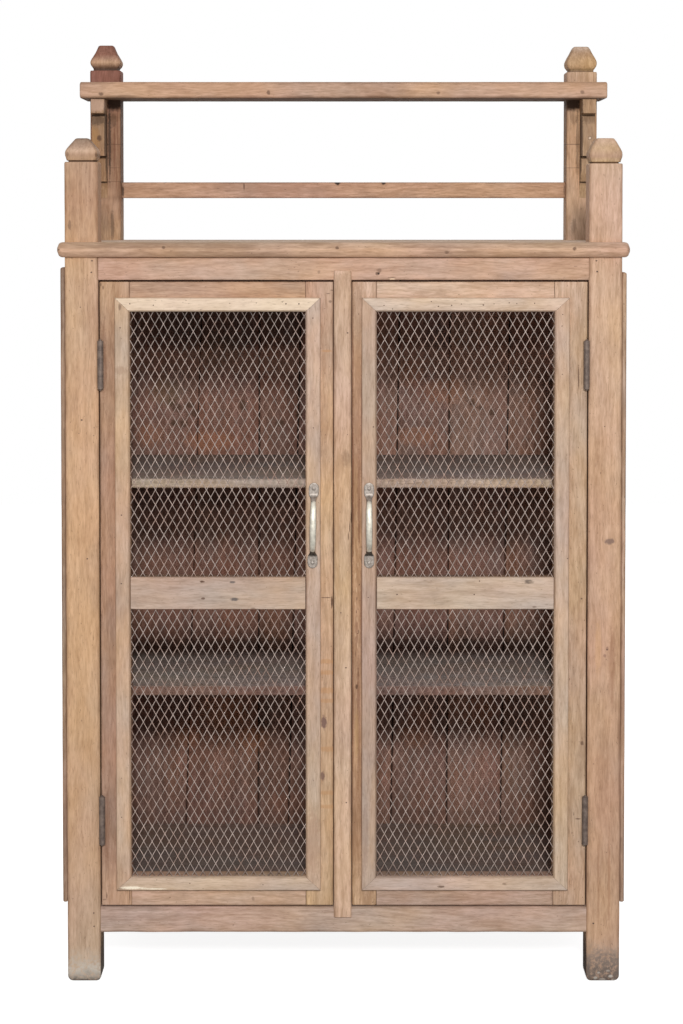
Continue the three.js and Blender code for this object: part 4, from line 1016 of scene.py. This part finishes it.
# Where each leaf's face is, as (distance from the middle of the cupboard, which way it looks), and its
# screws, as (up from the leaf's middle, depth behind the front).
LEAF_FACES = {"door": (0.387, 1), "post": (0.3873, -1)}
SCREW_STEP = 0.027
LEAF_SCREWS = ((-SCREW_STEP, 0.0145), (0.0, 0.009), (SCREW_STEP, 0.0145))
# A head's radius, the share of it that is flat, how proud that part stands, and half the slot's width.
HEAD_RADIUS, HEAD_TOP, HEAD_RISE, SLOT_HALF = 0.0033, 0.93, 0.00009, 0.00045


def leaf_screws(side, leaf, body):
    """Three slotted countersunk screws in each leaf, all but flush with it, seen when the door is open."""
    hand = -1 if side == "left" else 1
    face, way = LEAF_FACES[leaf]
    outward = Vector((hand * way, 0, 0))
    start = math.asin(SLOT_HALF / HEAD_RADIUS)
    angles = [start + (math.pi - 2 * start) * i / 8 for i in range(9)]
    verts, faces, dark = [], [], []
    for height in ("lower", "upper"):
        low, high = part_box(f"{side}_{height}_hinge_{leaf}_leaf")
        for step, depth in LEAF_SCREWS:
            middle = Vector((hand * face, FRONT + depth, (low.z + high.z) / 2 + step))
            turn = 0.9 * step / SCREW_STEP + 0.5 * hand
            along, across = (Vector((0.0, math.cos(a), math.sin(a))) for a in (turn, turn + math.pi / 2))

            def spots(places, rise):
                verts.extend(tuple(middle + along * u + across * v + outward * rise) for u, v in places)
                return list(range(len(verts) - len(places), len(verts)))

            for half in (1, -1):
                circle = [(HEAD_RADIUS * math.cos(a), half * HEAD_RADIUS * math.sin(a)) for a in angles]
                top = spots([(HEAD_TOP * u, HEAD_TOP * v) for u, v in circle], HEAD_RISE)
                rim = spots(circle, 0.0)
                faces.append(tuple(top))
                faces += [(top[i], top[i + 1], rim[i + 1], rim[i]) for i in range(8)]
                dark += [0] * 9
            ends = ((0.9, 1), (-0.9, 1), (-0.9, -1), (0.9, -1))
            faces.append(tuple(spots([(u * HEAD_RADIUS, v * SLOT_HALF) for u, v in ends], 0.2 * HEAD_RISE)))
            dark.append(1)
    piece = meshed(f"{side}_hinge_{leaf}_screws", verts, faces, HINGE, SLOT)
    piece.data.polygons.foreach_set("material_index", dark)
    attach(piece, body)


for side in ("left", "right"):
    leaf_screws(side, "door", side + "_door")
    leaf_screws(side, "post", "carcass")

# Handles. A strap of nickel, flat and round-ended where it is screwed on, and drawn into a bowed grip
# between. The flat ends are dull. The front of the grip is rubbed bright and carries a painted highlight,
# and the lower neck, which faces down, is painted dark as shade.
NICKEL = aged_metal("dull_nickel", (134, 124, 115), (172, 162, 153), 0.55, 0.5, 260.0)
# A dark metal, for painted shade on the lower neck, which faces down, and for the sides of the screw heads.
DARK_METAL = aged_metal("dark_neck_metal", (50, 44, 39), (104, 95, 86), 0.5, 0.55, 320.0)
# Rubbed metal that also carries a painted highlight, for the front of the grip.
BRIGHT = aged_metal("rubbed_highlit_grip", (196, 190, 176), (224, 219, 204), 0.5, 0.45, 120.0)
# Along the upper half: (down from the top end, out to the strap's middle, width, thickness).
STRAP = [(0.0, 0.0009, 0.002, 0.001), (0.0004, 0.0009, 0.0054, 0.0014), (0.0012, 0.0009, 0.0087, 0.0017),
         (0.0028, 0.0009, 0.0124, 0.0018), (0.005, 0.0009, 0.0151, 0.0019), (0.0081, 0.0009, 0.0162, 0.0019),
         (0.0165, 0.0009, 0.0162, 0.0019), (0.0198, 0.001, 0.015, 0.002), (0.0222, 0.0022, 0.0122, 0.0034),
         (0.0242, 0.005, 0.0098, 0.005), (0.0266, 0.0094, 0.0086, 0.0056), (0.030, 0.0142, 0.0082, 0.0058),
         (0.0348, 0.0192, 0.0088, 0.0058), (0.042, 0.0232, 0.0096, 0.0058), (0.052, 0.0255, 0.01, 0.0058),
         (0.062, 0.0263, 0.0102, 0.0058)]
RAISED = 0.0034
RING = 14


def handle(side, lean):
    """The strap and its two screws. lean is how far it slants sideways for each metre of height."""
    node = side + "_door_handle"
    low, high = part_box(node)
    seat = BEAD_FRONT - CLEAR
    upper = [(high.z + RAISED - down, out, w, t) for down, out, w, t in STRAP]
    lower = [(low.z + RAISED + down, out, w, t) for down, out, w, t in reversed(STRAP)]
    path = upper + lower

    def centre(z):
        return (low.x + high.x) / 2 + lean * (z - (low.z + high.z) / 2)

    verts = []
    for i, (z, out, w, t) in enumerate(path):
        before, after = path[max(i - 1, 0)], path[min(i + 1, len(path) - 1)]
        way = Vector((0.0, -(after[1] - before[1]), after[0] - before[0])).normalized()
        across = Vector((0.0, -way.z, way.y))
        squared = 0.55 if t < 0.0025 else 0.9
        for k in range(RING):
            angle = 2 * math.pi * k / RING
            cu = math.copysign(abs(math.cos(angle)) ** squared, math.cos(angle)) * w / 2
            cv = math.copysign(abs(math.sin(angle)) ** squared, math.sin(angle)) * t / 2
            verts.append(tuple(Vector((centre(z) + cu, seat - out, z)) + across * cv))
    faces = tube(len(path), RING)

    def metal(i, k):
        """Which material a face has: 2 on the lower neck, dark as painted shade, 1 on the front of the grip,
        rubbed and painted with a highlight, 0 elsewhere.
        """
        if len(path) - 12 <= i <= len(path) - 9:
            return 2
        return int(10 < i < len(path) - 12 and 7 < k < 13)

    metals = [metal(i, k) for i in range(len(path) - 1) for k in range(RING)] + [0, 0]
    for z in (high.z + RAISED - 0.0092, low.z + RAISED + 0.0086):
        start = len(verts)
        for reach, out in ((0.0030, 0.0016), (0.0029, 0.0026), (0.0021, 0.0031), (0.0, 0.0031)):
            for k in range(12 if reach else 1):
                angle = math.pi * k / 6
                verts.append((centre(z) + reach * math.cos(angle), seat - out, z + reach * math.sin(angle)))
        for row in (start, start + 12):
            faces += [(row + k, row + (k + 1) % 12, row + 12 + (k + 1) % 12, row + 12 + k) for k in range(12)]
        faces += [(start + 24 + k, start + 24 + (k + 1) % 12, start + 36) for k in range(12)]
        metals += [2] * 12 + [0] * 24
    strap = meshed(node + "_strap", verts, faces, NICKEL, BRIGHT, DARK_METAL)
    strap.data.polygons.foreach_set("material_index", metals)
    strap.data.polygons.foreach_set("use_smooth", [True] * len(faces))
    turn_outward(strap.data)
    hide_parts(node)
    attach(strap, side + "_door")


handle("left", 0.018)
handle("right", 0.0)

# Nails. Small oval heads, punched in and rusted nearly black, in the posts, the mullion, the beads and
# the right door's bar.
NAIL = aged_metal("rusted_nail", (74, 54, 44), (112, 88, 72), 0.1, 0.7, 900.0)


def nails(name, body, nearest, heads):
    """Nail heads as (x, z, radius), flush with the wood of the node that they are in."""
    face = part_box(nearest)[0].y
    verts, faces = [], []
    for x, z, radius in heads:
        start = len(verts)
        for reach, out in ((1.0, -0.0001), (0.8, 0.00012), (0.0, 0.00016)):
            for k in range(9 if reach else 1):
                angle = 2 * math.pi * k / 9
                ragged = reach * (1 + 0.35 * noise(Vector((x * 400 + k, z * 400, 2.0))))
                du, dv = radius * ragged * math.cos(angle), 0.85 * radius * ragged * math.sin(angle)
                verts.append((x + du, face - out, z + dv))
        for k in range(9):
            m = (k + 1) % 9
            faces.append((start + k, start + m, start + 9 + m, start + 9 + k))
            faces.append((start + 9 + k, start + 9 + m, start + 18))
    piece = meshed(name, verts, faces, NAIL)
    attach(piece, body)


nails("front_post_nails", "carcass", "front_left_post", [
    (-0.3987, 1.1566, 0.0016), (-0.3998, 1.1382, 0.0016), (0.4008, 1.1566, 0.0016), (0.4021, 1.1394, 0.0017),
    (-0.4174, 1.0829, 0.001), (-0.4163, 0.9034, 0.0017), (-0.3963, 0.8912, 0.0008), (-0.4205, 0.8822, 0.0008),
    (-0.4088, 0.8826, 0.0007), (-0.3971, 0.8787, 0.0008), (-0.4082, 0.6818, 0.0014),
    (-0.4002, 0.1118, 0.0015), (-0.3998, 0.0901, 0.0015), (0.4002, 0.0949, 0.0017), (0.4149, 0.8933, 0.001),
    (0.4202, 0.536, 0.0016)])
nails("mullion_nails", "carcass", "centre_mullion", [
    (0.0064, 1.0422, 0.0015), (0.0061, 0.8808, 0.0009), (-0.0042, 0.5963, 0.0013), (0.0037, 0.5082, 0.0014),
    (0.0043, 0.2914, 0.0014)])
nails("left_door_bead_nails", "left_door", "left_door_top_bead", [
    (-0.3382, 1.0886, 0.0013), (-0.3011, 1.0864, 0.0012), (-0.18, 1.0894, 0.0008), (-0.1382, 1.0899, 0.0009),
    (-0.091, 1.0886, 0.0015), (-0.0707, 1.0883, 0.0015), (-0.3538, 1.0506, 0.0013), (-0.0486, 1.0659, 0.0013),
    (-0.3526, 0.7528, 0.0014), (-0.3533, 0.6434, 0.0013), (-0.3541, 0.2686, 0.0012),
    (-0.3541, 0.3315, 0.0008), (-0.2456, 0.1621, 0.0011), (-0.2984, 0.1677, 0.0009),
    (-0.1288, 0.1598, 0.0011), (-0.0478, 0.8917, 0.0011)])
nails("right_door_bead_nails", "right_door", "right_door_top_bead", [
    (0.064, 1.0859, 0.0011), (0.0776, 1.0805, 0.0011), (0.1389, 1.0922, 0.0010), (0.1501, 1.0845, 0.0014),
    (0.171, 1.0859, 0.0013), (0.1864, 1.0882, 0.0010), (0.2211, 1.0866, 0.0014), (0.2381, 1.0885, 0.0009),
    (0.2622, 1.0902, 0.0012), (0.2741, 1.089, 0.0011), (0.3024, 1.0894, 0.0012), (0.3469, 1.0717, 0.0011),
    (0.3459, 1.0533, 0.0011), (0.3466, 0.9768, 0.0009), (0.356, 0.6835, 0.0010), (0.0474, 0.8933, 0.0012),
    (0.0392, 0.6213, 0.0011)])
nails("right_door_bar_nails", "right_door", "right_door_mid_bar", [
    (0.085, 0.6261, 0.0014), (0.2162, 0.6475, 0.0013), (0.2078, 0.6261, 0.0013)])
